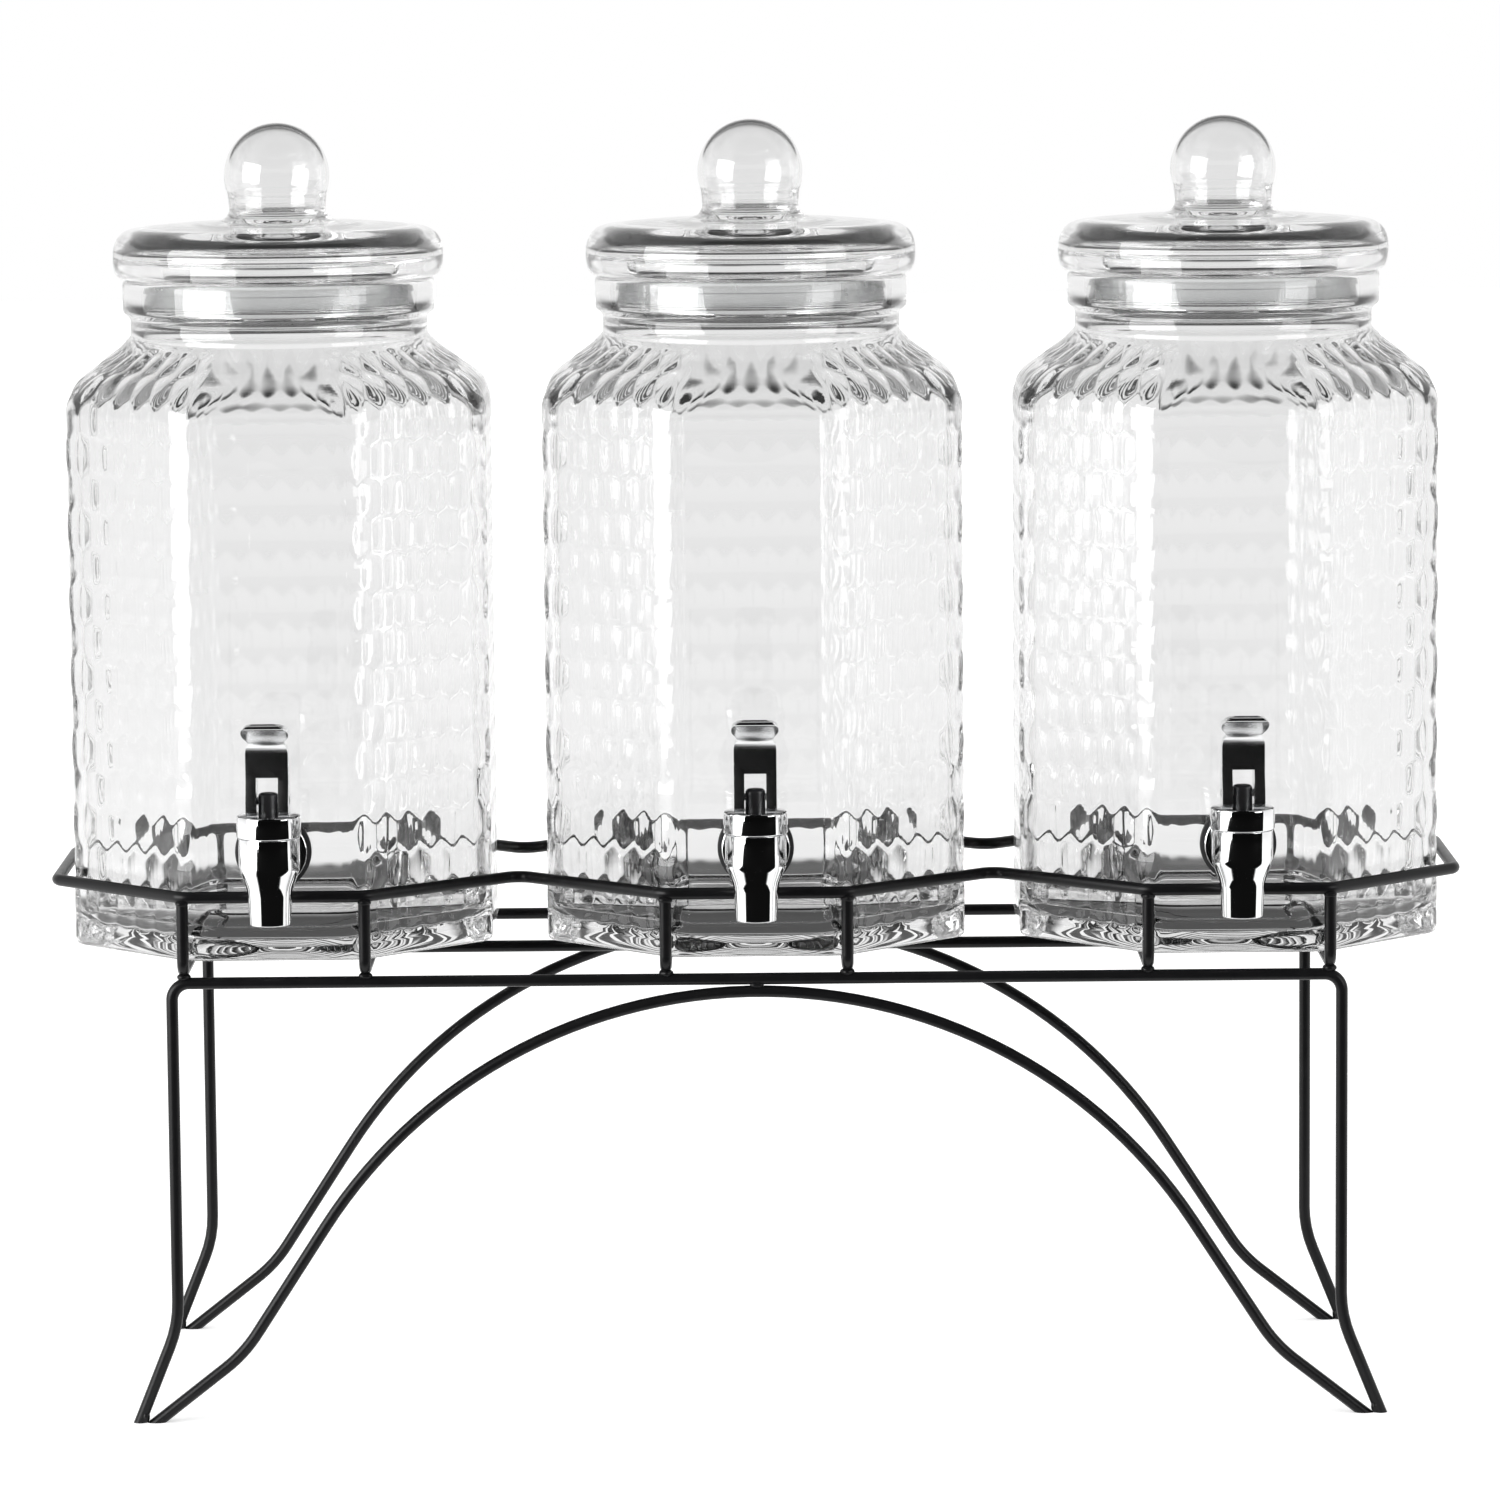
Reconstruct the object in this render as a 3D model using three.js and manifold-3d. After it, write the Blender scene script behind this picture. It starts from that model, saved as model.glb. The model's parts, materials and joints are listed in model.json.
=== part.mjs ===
// Triple beverage dispenser: three octagonal glass jars with lever spigots on a bent-wire stand.
// Millimetres, +Z up. The jars stand in a row along X and their spigots face -Y.
// The origin lies on the ground, under the middle of the whole object's box.

import * as THREE from 'three';
import { mergeVertices } from 'three/addons/utils/BufferGeometryUtils.js';
import Module from 'manifold-3d';

const wasm = await Module();
wasm.setup();

// Clearances and cutting
const seatGap = 0.3;
const cutOverrun = 6;
const weldTolerance = 1e-4;

// The row of bays
const bayNames = ['left', 'centre', 'right'];
const jarSpacing = 23;
const cradleMargin = 2.1;

// The stand's wire
const wireDiameter = 5;
const wireSides = 8;
const bendStep = THREE.MathUtils.degToRad(45);
const archStep = THREE.MathUtils.degToRad(9.6);
const railHeight = 185.6;
const galleryRise = 36.4;
const galleryClearance = 7.2;
const valleyMargin = 10.5;
const endClearance = 3.8;
const galleryBend = 8;
const cradleBend = 5;
const frameInset = 3.5;
const legOverhang = 5.1;
const shoulderBend = 7;
const footFlare = 16.7;
const legSplay = THREE.MathUtils.degToRad(22);
const ankleBend = 50;
const kneeHeight = 29;
const archSlope = THREE.MathUtils.degToRad(57);
const toeSlope = THREE.MathUtils.degToRad(38);
const kneeBend = 60;
const centreRailOverhang = 4;

// The jar
const jarFacets = 8;
const jarWidth = 177;
const jarCornerRadius = 14;
const jarWall = 4.5;
const jarHeight = 279;
const baseThickness = 10;
const baseEdgeHeight = 7;
const puntRise = 2.5;
const baseEdgeInset = 7.5;
const standingRing = 15;
const floorCoveRadius = 15;
const shoulderRise = 31;
const neckHeight = 23.5;
const neckDiameter = 125.8;
const neckWall = 5.4;
const rimProjection = 3.1;
const rimHeight = 13.5;
const rimFlare = 3;
const rimEdge = 2;
const cornerSteps = 2;
const shoulderSteps = 4;

// The lid with its plug and ball knob
const lidOverhang = 3.8;
const lidRoll = 9.5;
const lidRollInset = 11.8;
const lidShoulderHeight = 21.6;
const lidTopRise = 2.2;
const knobFlareDiameter = 56;
const knobNeckDiameter = 40.6;
const knobNeckHeight = 30;
const knobDiameter = 44.5;
const knobCentre = 43.2;
const plugClearance = 3;
const plugDepth = 12;
const plugLip = 1.5;
const plugLipHeight = 1.4;
const plugWall = 5.5;
const lidWall = 7.5;
const knobWall = 3;
const lidThroatDiameter = 32;
const lidSegments = 24;
const curveSteps = 3;
const gasketFins = 2;
const gasketWeb = 0.9;

// The spigot's body, cap and fixing
const shankHeight = 46.3;
const spigotReach = 26.5;
const nozzleDrop = 26.9;
const nozzleDiameter = 17.3;
const nozzleBore = 12.4;
const nozzleLip = 0.8;
const bodyDiameter = 25.2;
const bodyRise = 9.2;
const bellyDrop = 5;
const throatDrop = 12.5;
const throatDiameter = 18.4;
const chamberBore = 19.2;
const seatDrop = 14;
const seatHeight = 5;
const shankDiameter = 16;
const shankBore = 9.2;
const shankOverhang = 3.9;
const flangeDiameter = 28.4;
const flangeThickness = 2.5;
const capDiameter = 26.6;
const capHeight = 9.1;
const capEdge = 0.9;
const capRoof = 3.4;
const capBore = 14.6;
const capPlugDepth = 4.2;
const outerWasherDiameter = 31.7;
const outerWasherThickness = 3;
const innerWasherDiameter = 27;
const innerWasherThickness = 2.5;
const nutFlats = 6;
const nutAcrossFlats = 25;
const nutThickness = 7;
const roundSegments = 12;

// The valve inside the body
const stemDiameter = 8.2;
const stemHeadRise = 4.9;
const stemEdge = 0.7;
const stemRodDiameter = 5;
const stemNeckHeight = 2;
const springSeatDiameter = 14;
const springSeatThickness = 1.5;
const sealRimClearance = 1.1;
const sealWaistClearance = 0.4;
const buttonDiameter = 8;
const buttonThickness = 1.2;
const springWire = 1;
const springDiameter = 11.4;
const springTurns = 4;
const springTurnSteps = 6;
const springSides = 4;

// The lever and its pin
const leverWidth = 17.5;
const leverTipWidth = 19.3;
const leverWaist = 14.6;
const leverReach = 29;
const leverHeight = 33;
const forkClearance = 0.4;
const windowHeight = 12;
const pinDiameter = 3;
const pinHeadroom = 5.5;
const leverBack = 5;
const leverOpening = THREE.MathUtils.degToRad(40);
const valveLift = 3.5;
const camSteps = 5;
const blockFront = 6.5;
const blockBack = 2;
const paddleThickness = 3;
const pinSides = 12;
const stemSides = 8;

// Places worked out from the sizes above
const wireRadius = wireDiameter / 2;
const jarApothem = jarWidth / 2;
const jarFacetWidth = jarWidth * Math.tan(Math.PI / jarFacets);
const bayPitch = jarWidth + jarSpacing;
const cradleSpread = jarFacetWidth + cradleMargin;
const galleryY = jarApothem + galleryClearance + wireRadius;
const valleyY = (jarFacetWidth + valleyMargin) / 2;
const endReach = jarApothem + endClearance + wireRadius;
const galleryHeight = railHeight + galleryRise;
const frameY = galleryY - frameInset;
const crossHeight = railHeight + wireDiameter + seatGap;
const jarBase = crossHeight + wireRadius + seatGap;
const mouthDiameter = neckDiameter - 2 * neckWall;
const rimDiameter = neckDiameter + 2 * rimProjection;
const lidDiameter = rimDiameter + 2 * lidOverhang;
const plugDiameter = mouthDiameter - 2 * plugClearance;
const plugBore = plugDiameter - 2 * plugWall;
const nutBack = spigotReach + jarWall + innerWasherThickness + nutThickness + 2 * seatGap;
const shankLength = nutBack + shankOverhang;
const bayCentre = (index) => (index - (bayNames.length - 1) / 2) * bayPitch;
const lastBay = bayCentre(bayNames.length - 1);
const legHalfSpread = lastBay + cradleSpread / 2 + legOverhang;
const footHalfSpread = legHalfSpread + footFlare;
const neckStart = jarHeight - neckHeight;
const shoulderStart = neckStart - shoulderRise;
const spigotAxisY = -jarApothem - spigotReach;
const pinHeight = bodyRise + seatGap + capHeight + seatGap + pinHeadroom;
const frontReach = jarApothem + spigotReach + leverReach;
const backReach = galleryY + wireRadius;
const stemTop = pinHeight + stemHeadRise;
const forkWidth = stemDiameter + 2 * forkClearance;
const lidPhase = Math.PI / lidSegments;
const originShift = (frontReach - backReach) / 2;

// Finishes
const blackWire = new THREE.MeshStandardMaterial({ color: 0x1a1a1b, roughness: 0.42, metalness: 0.3 });
const clearGlass = new THREE.MeshStandardMaterial({
  color: 0xf4f7f7, roughness: 0.04, metalness: 0, transparent: true, opacity: 0.35,
});
const chrome = new THREE.MeshStandardMaterial({ color: 0xd9dadc, roughness: 0.07, metalness: 1 });
const blackRubber = new THREE.MeshStandardMaterial({ color: 0x141414, roughness: 0.75, metalness: 0 });
const clearSilicone = new THREE.MeshStandardMaterial({
  color: 0xe6e9ea, roughness: 0.35, metalness: 0, transparent: true, opacity: 0.6,
});
const blackPlastic = new THREE.MeshStandardMaterial({ color: 0x222224, roughness: 0.4, metalness: 0 });
const steel = new THREE.MeshStandardMaterial({ color: 0xb6b8ba, roughness: 0.25, metalness: 1 });

// Mesh helpers

// Welds a geometry's corners and drops the empty triangles that poles and seams leave.
function weld(geometry) {
  const bare = geometry.clone();
  bare.deleteAttribute('normal');
  bare.deleteAttribute('uv');
  const welded = mergeVertices(bare, weldTolerance);
  const corners = welded.index.array;
  const kept = [];
  for (let i = 0; i < corners.length; i += 3) {
    const [a, b, c] = [corners[i], corners[i + 1], corners[i + 2]];
    if (a !== b && b !== c && c !== a) kept.push(a, b, c);
  }
  if (enclosedVolume(welded.attributes.position, kept) < 0) {
    for (let i = 0; i < kept.length; i += 3) [kept[i], kept[i + 1]] = [kept[i + 1], kept[i]];
  }
  welded.setIndex(kept);
  return welded;
}

// The signed volume inside a triangle mesh: negative when its faces point inwards.
function enclosedVolume(position, corners) {
  const [a, b, c] = [new THREE.Vector3(), new THREE.Vector3(), new THREE.Vector3()];
  let sixfold = 0;
  for (let i = 0; i < corners.length; i += 3) {
    a.fromBufferAttribute(position, corners[i]);
    b.fromBufferAttribute(position, corners[i + 1]);
    c.fromBufferAttribute(position, corners[i + 2]);
    sixfold += a.dot(b.cross(c));
  }
  return sixfold / 6;
}

function toSolid(geometry) {
  const welded = weld(geometry);
  return new wasm.Manifold(new wasm.Mesh({
    numProp: 3,
    vertProperties: new Float32Array(welded.attributes.position.array),
    triVerts: new Uint32Array(welded.index.array),
  }));
}

function toGeometry(solid) {
  const mesh = solid.getMesh();
  const geometry = new THREE.BufferGeometry();
  geometry.setAttribute('position', new THREE.BufferAttribute(new Float32Array(mesh.vertProperties), 3));
  geometry.setIndex(Array.from(mesh.triVerts));
  return geometry;
}

// Revolves a profile of (radius, height) points about the Z axis.
function revolve(points, segments, phase = 0) {
  const geometry = new THREE.LatheGeometry(points, segments, phase);
  geometry.rotateX(Math.PI / 2);
  return geometry;
}

function outline(pairs) {
  return pairs.map(([x, y]) => new THREE.Vector2(x, y));
}

function boxBetween(low, high) {
  const size = new THREE.Vector3().subVectors(high, low);
  const geometry = new THREE.BoxGeometry(size.x, size.y, size.z);
  geometry.translate(...new THREE.Vector3().addVectors(low, high).divideScalar(2).toArray());
  return geometry;
}

function cylinderAlongY(diameter, from, to, segments) {
  const geometry = new THREE.CylinderGeometry(diameter / 2, diameter / 2, to - from, segments);
  geometry.translate(0, (from + to) / 2, 0);
  return geometry;
}

function cylinderAlongX(diameter, length, segments) {
  const geometry = new THREE.CylinderGeometry(diameter / 2, diameter / 2, length, segments);
  geometry.rotateZ(Math.PI / 2);
  return geometry;
}

// A flat ring about the Y axis, from one Y to another.
function ringAlongY(outerDiameter, innerDiameter, from, to, segments) {
  const geometry = new THREE.LatheGeometry(outline([
    [innerDiameter / 2, from], [outerDiameter / 2, from],
    [outerDiameter / 2, to], [innerDiameter / 2, to], [innerDiameter / 2, from],
  ]), segments);
  return geometry;
}

function namedMesh(name, geometry, material) {
  const mesh = new THREE.Mesh(weld(geometry), material);
  mesh.name = name;
  return mesh;
}

// Bent wire

// A wire bent in one plane. Its corners are [across, up, bend radius], and it has stations only
// at the ends of its straight runs and along its bends, so the straight runs stay single faces.
class BentWire extends THREE.Curve {
  constructor(corners, place, step = bendStep) {
    super();
    this.place = place;
    this.stations = BentWire.layOut(corners, step);
  }

  static layOut(corners, step) {
    const points = corners.map(([u, v]) => new THREE.Vector2(u, v));
    const headings = points.slice(1).map((point, i) => point.clone().sub(points[i]).normalize());
    const stations = [{ point: points[0], heading: headings[0] }];
    for (let i = 1; i < points.length - 1; i += 1) {
      const [before, after] = [headings[i - 1], headings[i]];
      const turn = Math.atan2(before.cross(after), before.dot(after));
      const radius = corners[i][2];
      const reach = radius * Math.tan(Math.abs(turn) / 2);
      const start = points[i].clone().addScaledVector(before, -reach);
      const toCentre = new THREE.Vector2(-before.y, before.x).multiplyScalar(Math.sign(turn) * radius);
      const centre = start.clone().add(toCentre);
      const steps = Math.max(1, Math.ceil(Math.abs(turn) / step));
      for (let k = 0; k <= steps; k += 1) {
        const angle = (turn * k) / steps;
        const point = start.clone().rotateAround(centre, angle);
        const heading = before.clone().rotateAround(new THREE.Vector2(), angle);
        stations.push({ point, heading });
      }
    }
    stations.push({ point: points[points.length - 1], heading: headings[headings.length - 1] });
    return stations;
  }

  getSpacedPoints() {
    return this.stations.map(({ point }) => this.place(point.x, point.y));
  }

  computeFrenetFrames() {
    const origin = this.place(0, 0);
    const across = this.place(1, 0).sub(origin);
    const up = this.place(0, 1).sub(origin);
    const face = across.clone().cross(up);
    const tangents = this.stations.map(({ heading }) => across.clone().multiplyScalar(heading.x)
      .addScaledVector(up, heading.y));
    const normals = tangents.map((tangent) => face.clone().cross(tangent));
    const binormals = tangents.map(() => face.clone());
    return { tangents, normals, binormals };
  }

  sweep() {
    const section = flatSided(wireRadius, wireSides);
    return new THREE.ExtrudeGeometry(section, { steps: this.stations.length - 1, extrudePath: this });
  }
}

// A regular outline whose flat sides lie at the given reach, so that what rests on it is seated true.
function flatSided(reach, sides) {
  const corner = reach / Math.cos(Math.PI / sides);
  const points = [];
  for (let k = 0; k < sides; k += 1) {
    const angle = ((2 * k + 1) * Math.PI) / sides;
    points.push(new THREE.Vector2(corner * Math.cos(angle), corner * Math.sin(angle)));
  }
  return new THREE.Shape(points);
}

// Planes for the wires: level at a height, upright along the row, and upright across the row.
const levelPlane = (height) => (u, v) => new THREE.Vector3(u, v, height);
const rowPlane = (y) => (u, v) => new THREE.Vector3(u, y, v);
const crossPlane = (x) => (u, v) => new THREE.Vector3(x, u, v);

// The stand

// The gallery rail goes round the three jars: a flat run before and behind each one,
// a valley between neighbours, and a straight side at each end. Its ends meet behind the middle jar.
function galleryRail() {
  const half = cradleSpread / 2;
  const front = [];
  bayNames.forEach((name, index) => {
    const x = bayCentre(index);
    if (index > 0) front.push([x - bayPitch / 2, -valleyY, galleryBend]);
    front.push([x - half, -galleryY, galleryBend], [x + half, -galleryY, galleryBend]);
  });
  const side = [
    [lastBay + endReach, -valleyY, galleryBend],
    [lastBay + endReach, valleyY, galleryBend],
  ];
  const turned = ([u, v, bend]) => [-u, -v, bend];
  const back = front.map(turned);
  const middle = back.length / 2;
  const joint = seatGap / 2;
  const corners = [
    [-joint, galleryY, 0],
    ...back.slice(middle),
    ...side.map(turned),
    ...front,
    ...side,
    ...back.slice(0, middle),
    [joint, galleryY, 0],
  ];
  return new BentWire(corners, levelPlane(galleryHeight)).sweep();
}

// Everything below the ground is cut away, so each foot ends flat on it.
function trimAtGround(geometry) {
  const reach = 2 * footHalfSpread;
  const ground = boxBetween(new THREE.Vector3(-reach, -reach, -reach), new THREE.Vector3(reach, reach, 0));
  return toGeometry(toSolid(geometry).subtract(toSolid(ground)));
}

// One wire makes a lower rail and both its legs, which splay out above their feet.
function legFrame(y) {
  const half = legHalfSpread;
  const ankle = footFlare / Math.tan(legSplay);
  const under = footHalfSpread + cutOverrun * Math.tan(legSplay);
  const wire = new BentWire([
    [-under, -cutOverrun, 0],
    [-half, ankle, ankleBend],
    [-half, railHeight, shoulderBend],
    [half, railHeight, shoulderBend],
    [half, ankle, ankleBend],
    [under, -cutOverrun, 0],
  ], rowPlane(y));
  return trimAtGround(wire.sweep());
}

// The arch springs from beside the feet and touches the lower rail from below at its middle.
function footArch(y) {
  const apex = railHeight - wireDiameter - seatGap;
  const legHalf = wireRadius / Math.cos(legSplay);
  const archHalf = wireRadius / Math.sin(toeSlope);
  const toeX = footHalfSpread - legHalf - archHalf - seatGap;
  const kneeX = toeX - kneeHeight / Math.tan(toeSlope);
  const cornerHeight = kneeHeight + kneeX * Math.tan(archSlope);
  const archRadius = (cornerHeight - apex) / (1 / Math.cos(archSlope) - 1);
  const under = toeX + cutOverrun / Math.tan(toeSlope);
  const wire = new BentWire([
    [-under, -cutOverrun, 0],
    [-kneeX, kneeHeight, kneeBend],
    [0, cornerHeight, archRadius],
    [kneeX, kneeHeight, kneeBend],
    [under, -cutOverrun, 0],
  ], rowPlane(y), archStep);
  return trimAtGround(wire.sweep());
}

// A cradle wire goes down from the gallery rail, under the jar and up again behind it.
function cradleWire(x) {
  const top = galleryHeight - wireRadius - seatGap;
  return new BentWire([
    [-galleryY, top, 0],
    [-galleryY, crossHeight, cradleBend],
    [galleryY, crossHeight, cradleBend],
    [galleryY, top, 0],
  ], crossPlane(x)).sweep();
}

function centreRail() {
  const end = lastBay + cradleSpread / 2 + centreRailOverhang;
  return new BentWire([[-end, railHeight, 0], [end, railHeight, 0]], rowPlane(0)).sweep();
}

function stand() {
  const group = new THREE.Group();
  group.add(namedMesh('gallery_rail', galleryRail(), blackWire));
  group.add(namedMesh('front_leg_frame', legFrame(-frameY), blackWire));
  group.add(namedMesh('back_leg_frame', legFrame(frameY), blackWire));
  group.add(namedMesh('front_arch', footArch(-frameY), blackWire));
  group.add(namedMesh('back_arch', footArch(frameY), blackWire));
  group.add(namedMesh('centre_rail', centreRail(), blackWire));
  bayNames.forEach((name, index) => {
    [-1, 1].forEach((side) => {
      const end = side < 0 ? 'a' : 'b';
      const x = bayCentre(index) + (side * cradleSpread) / 2;
      group.add(namedMesh(`${name}_cradle_wire_${end}`, cradleWire(x), blackWire));
    });
  });
  return group;
}

// The jar

// One level ring of the jar: an octagon with rounded corners that goes over into a circle
// as roundness rises from 0 to 1.
function jarRing(apothem, height, roundness) {
  const halfTurn = Math.PI / jarFacets;
  const corner = THREE.MathUtils.lerp(Math.min(jarCornerRadius, apothem), apothem, roundness);
  const reach = (apothem - corner) / Math.cos(halfTurn);
  const roundSpread = (halfTurn * cornerSteps) / (cornerSteps + 1);
  const spread = THREE.MathUtils.lerp(halfTurn, roundSpread, roundness);
  const ring = [];
  for (let facet = 0; facet < jarFacets; facet += 1) {
    const direction = (2 * facet + 1) * halfTurn;
    for (let k = 0; k <= cornerSteps; k += 1) {
      const angle = direction + spread * ((2 * k) / cornerSteps - 1);
      ring.push(new THREE.Vector3(
        reach * Math.cos(direction) + corner * Math.cos(angle),
        reach * Math.sin(direction) + corner * Math.sin(angle),
        height,
      ));
    }
  }
  return ring;
}

// Skins rings of equal count, closed at both ends by a point on the axis.
function loft(rings, startHeight, endHeight) {
  const count = rings[0].length;
  const [start, end] = [startHeight, endHeight].map((height) => new THREE.Vector3(0, 0, height));
  const points = [start, ...rings.flat(), end];
  const last = points.length - 1;
  const corners = [];
  for (let k = 0; k < count; k += 1) {
    const next = (k + 1) % count;
    corners.push(0, 1 + next, 1 + k);
    for (let ring = 0; ring < rings.length - 1; ring += 1) {
      const [low, high] = [1 + ring * count, 1 + (ring + 1) * count];
      corners.push(low + k, low + next, high + next, low + k, high + next, high + k);
    }
    const top = 1 + (rings.length - 1) * count;
    corners.push(top + k, top + next, last);
  }
  const geometry = new THREE.BufferGeometry().setFromPoints(points);
  geometry.setIndex(corners);
  return geometry;
}

// The shoulder is one S-shaped curve from a wall of the given reach up to the neck.
function shoulderCurve(wallReach, wallTop, neckReach, neckBottom) {
  const rise = neckBottom - wallTop;
  const run = wallReach - neckReach;
  const wallHandleShare = 0.53;
  const neckHandleRunShare = 0.36;
  const neckHandleRiseShare = 0.39;
  return new THREE.CubicBezierCurve(
    new THREE.Vector2(wallReach, wallTop),
    new THREE.Vector2(wallReach, wallTop + rise * wallHandleShare),
    new THREE.Vector2(neckReach + run * neckHandleRunShare, neckBottom - rise * neckHandleRiseShare),
    new THREE.Vector2(neckReach, neckBottom),
  );
}

function shoulderRings(wallReach, wallTop, neckReach, neckBottom) {
  const points = shoulderCurve(wallReach, wallTop, neckReach, neckBottom).getPoints(shoulderSteps);
  return points.map((point) => {
    const climb = (point.y - wallTop) / (neckBottom - wallTop);
    return jarRing(point.x, point.y, THREE.MathUtils.smoothstep(climb, 0, 1));
  });
}

// The jar's wall as one skin: out from under the base, up outside, over the rim, down inside.
function jarGeometry() {
  const innerReach = jarApothem - jarWall;
  const rimBottom = jarHeight - rimHeight;
  const neckReach = neckDiameter / 2;
  const mouthReach = mouthDiameter / 2;
  const rimReach = rimDiameter / 2;
  const ringReach = jarApothem - baseEdgeInset;
  const puntReach = ringReach - standingRing;
  const halfTurnShare = Math.SQRT1_2;
  const outside = [
    jarRing(puntReach, puntRise, 0),
    jarRing((puntReach + ringReach) / 2, 0, 0),
    jarRing(ringReach, 0, 0),
    jarRing(
      jarApothem - baseEdgeInset * (1 - halfTurnShare),
      baseEdgeHeight * (1 - halfTurnShare),
      0,
    ),
    jarRing(jarApothem, baseEdgeHeight, 0),
    ...shoulderRings(jarApothem, shoulderStart, neckReach, neckStart),
    jarRing(neckReach, rimBottom - rimFlare, 1),
    jarRing(rimReach, rimBottom, 1),
    jarRing(rimReach, jarHeight - rimEdge, 1),
    jarRing(rimReach - rimEdge, jarHeight, 1),
  ];
  const inside = [
    jarRing(mouthReach + rimEdge, jarHeight, 1),
    jarRing(mouthReach, jarHeight - rimEdge, 1),
    ...shoulderRings(innerReach, shoulderStart - jarWall / 2, mouthReach, neckStart - jarWall).reverse(),
    jarRing(innerReach, baseThickness + floorCoveRadius, 0),
    jarRing(
      innerReach - floorCoveRadius * (1 - halfTurnShare),
      baseThickness + floorCoveRadius * (1 - halfTurnShare),
      0,
    ),
    jarRing(innerReach - floorCoveRadius, baseThickness, 0),
  ];
  return loft([...outside, ...inside], puntRise, baseThickness);
}

function jar() {
  const hole = cylinderAlongY(
    shankDiameter + 3 * seatGap,
    -jarApothem - cutOverrun,
    -jarApothem + jarWall + cutOverrun,
    roundSegments,
  );
  hole.translate(0, 0, shankHeight);
  return toGeometry(toSolid(jarGeometry()).subtract(toSolid(hole)));
}

// The lid

// The hollow under the lid follows its outside: the ball, the top and the rolled edge. It starts at the
// top of the ball and ends at the plug's foot. Heights are above the jar's rim.
function lidHollow() {
  const hollow = new THREE.Path();
  const ballReach = knobDiameter / 2 - knobWall;
  const throatReach = lidThroatDiameter / 2;
  const reach = lidDiameter / 2 - lidWall;
  const ceiling = lidShoulderHeight - lidWall;
  const sill = seatGap + lidWall;
  hollow.absarc(0, knobCentre, ballReach, Math.PI / 2, -Math.acos(throatReach / ballReach), true);
  hollow.lineTo(throatReach, ceiling + lidTopRise);
  hollow.lineTo(reach - lidRollInset, ceiling);
  hollow.quadraticCurveTo(reach, ceiling, reach, lidRoll);
  hollow.lineTo(reach, sill);
  hollow.lineTo(plugBore / 2, sill);
  hollow.lineTo(plugBore / 2, -plugDepth);
  return hollow.getPoints(curveSteps - 1);
}

function lid() {
  const profile = new THREE.Path();
  const flangeHeight = seatGap;
  const rollBottom = lidDiameter / 2 - lidRoll / 2;
  const lipTop = -plugDepth + plugLipHeight;
  const lipReach = plugDiameter / 2 + plugLip;
  const shoulderReach = lidDiameter / 2 - lidRollInset;
  const knobSine = Math.sqrt(1 - (knobNeckDiameter / knobDiameter) ** 2);
  const lidTop = lidShoulderHeight + lidTopRise;
  profile.moveTo(lipReach, -plugDepth);
  profile.lineTo(lipReach, lipTop);
  profile.lineTo(plugDiameter / 2, lipTop);
  profile.lineTo(plugDiameter / 2, flangeHeight);
  profile.lineTo(rollBottom, flangeHeight);
  profile.quadraticCurveTo(lidDiameter / 2, flangeHeight, lidDiameter / 2, lidRoll);
  profile.quadraticCurveTo(lidDiameter / 2, lidShoulderHeight, shoulderReach, lidShoulderHeight);
  profile.lineTo(knobFlareDiameter / 2, lidTop);
  profile.quadraticCurveTo(knobNeckDiameter / 2, lidTop, knobNeckDiameter / 2, knobNeckHeight);
  profile.absarc(0, knobCentre, knobDiameter / 2, -Math.asin(knobSine), Math.PI / 2);
  return revolve([...lidHollow(), ...profile.getPoints(curveSteps)], lidSegments, lidPhase);
}

// The gasket grips the mouth with barbed fins on a web round the plug.
function lidGasket() {
  const top = 0;
  const bottom = -plugDepth + plugLipHeight + seatGap;
  const inner = plugDiameter / 2 + seatGap;
  const outer = mouthDiameter / 2 - seatGap;
  const pitch = (top - bottom) / gasketFins;
  const points = [[inner, top], [inner, bottom]];
  for (let fin = 0; fin < gasketFins; fin += 1) {
    const low = bottom + fin * pitch;
    points.push([outer, low], [inner + gasketWeb, low + pitch]);
  }
  points.push([inner, top]);
  return revolve(outline(points), lidSegments, lidPhase);
}

// The spigot. Its own frame has the shank's axis along Y and the body's axis along Z.

// The chromed body: a belly with a nozzle below, bored for the valve, and a threaded shank behind.
function spigotBody() {
  const outside = revolve(outline([
    [0, -nozzleDrop],
    [nozzleDiameter / 2 - nozzleLip, -nozzleDrop],
    [nozzleDiameter / 2, -nozzleDrop + nozzleLip],
    [throatDiameter / 2, -throatDrop],
    [(throatDiameter + bodyDiameter) / 4, -(throatDrop + bellyDrop) / 2],
    [bodyDiameter / 2, -bellyDrop + nozzleLip],
    [bodyDiameter / 2, bodyRise],
    [0, bodyRise],
  ]), roundSegments);
  const inside = revolve(outline([
    [0, -nozzleDrop - cutOverrun],
    [nozzleBore / 2, -nozzleDrop - cutOverrun],
    [nozzleBore / 2, -seatDrop],
    [chamberBore / 2, -seatDrop + seatHeight],
    [chamberBore / 2, bodyRise + cutOverrun],
    [0, bodyRise + cutOverrun],
  ]), roundSegments);
  const flangeBack = spigotReach - outerWasherThickness - 2 * seatGap;
  const shank = cylinderAlongY(shankDiameter, 0, shankLength, roundSegments);
  const flange = cylinderAlongY(flangeDiameter, flangeBack - flangeThickness, flangeBack, roundSegments);
  const passage = cylinderAlongY(shankBore, 0, shankLength + cutOverrun, stemSides);
  const solid = toSolid(outside).add(toSolid(shank)).add(toSolid(flange));
  return toGeometry(solid.subtract(toSolid(inside)).subtract(toSolid(passage)));
}

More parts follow.
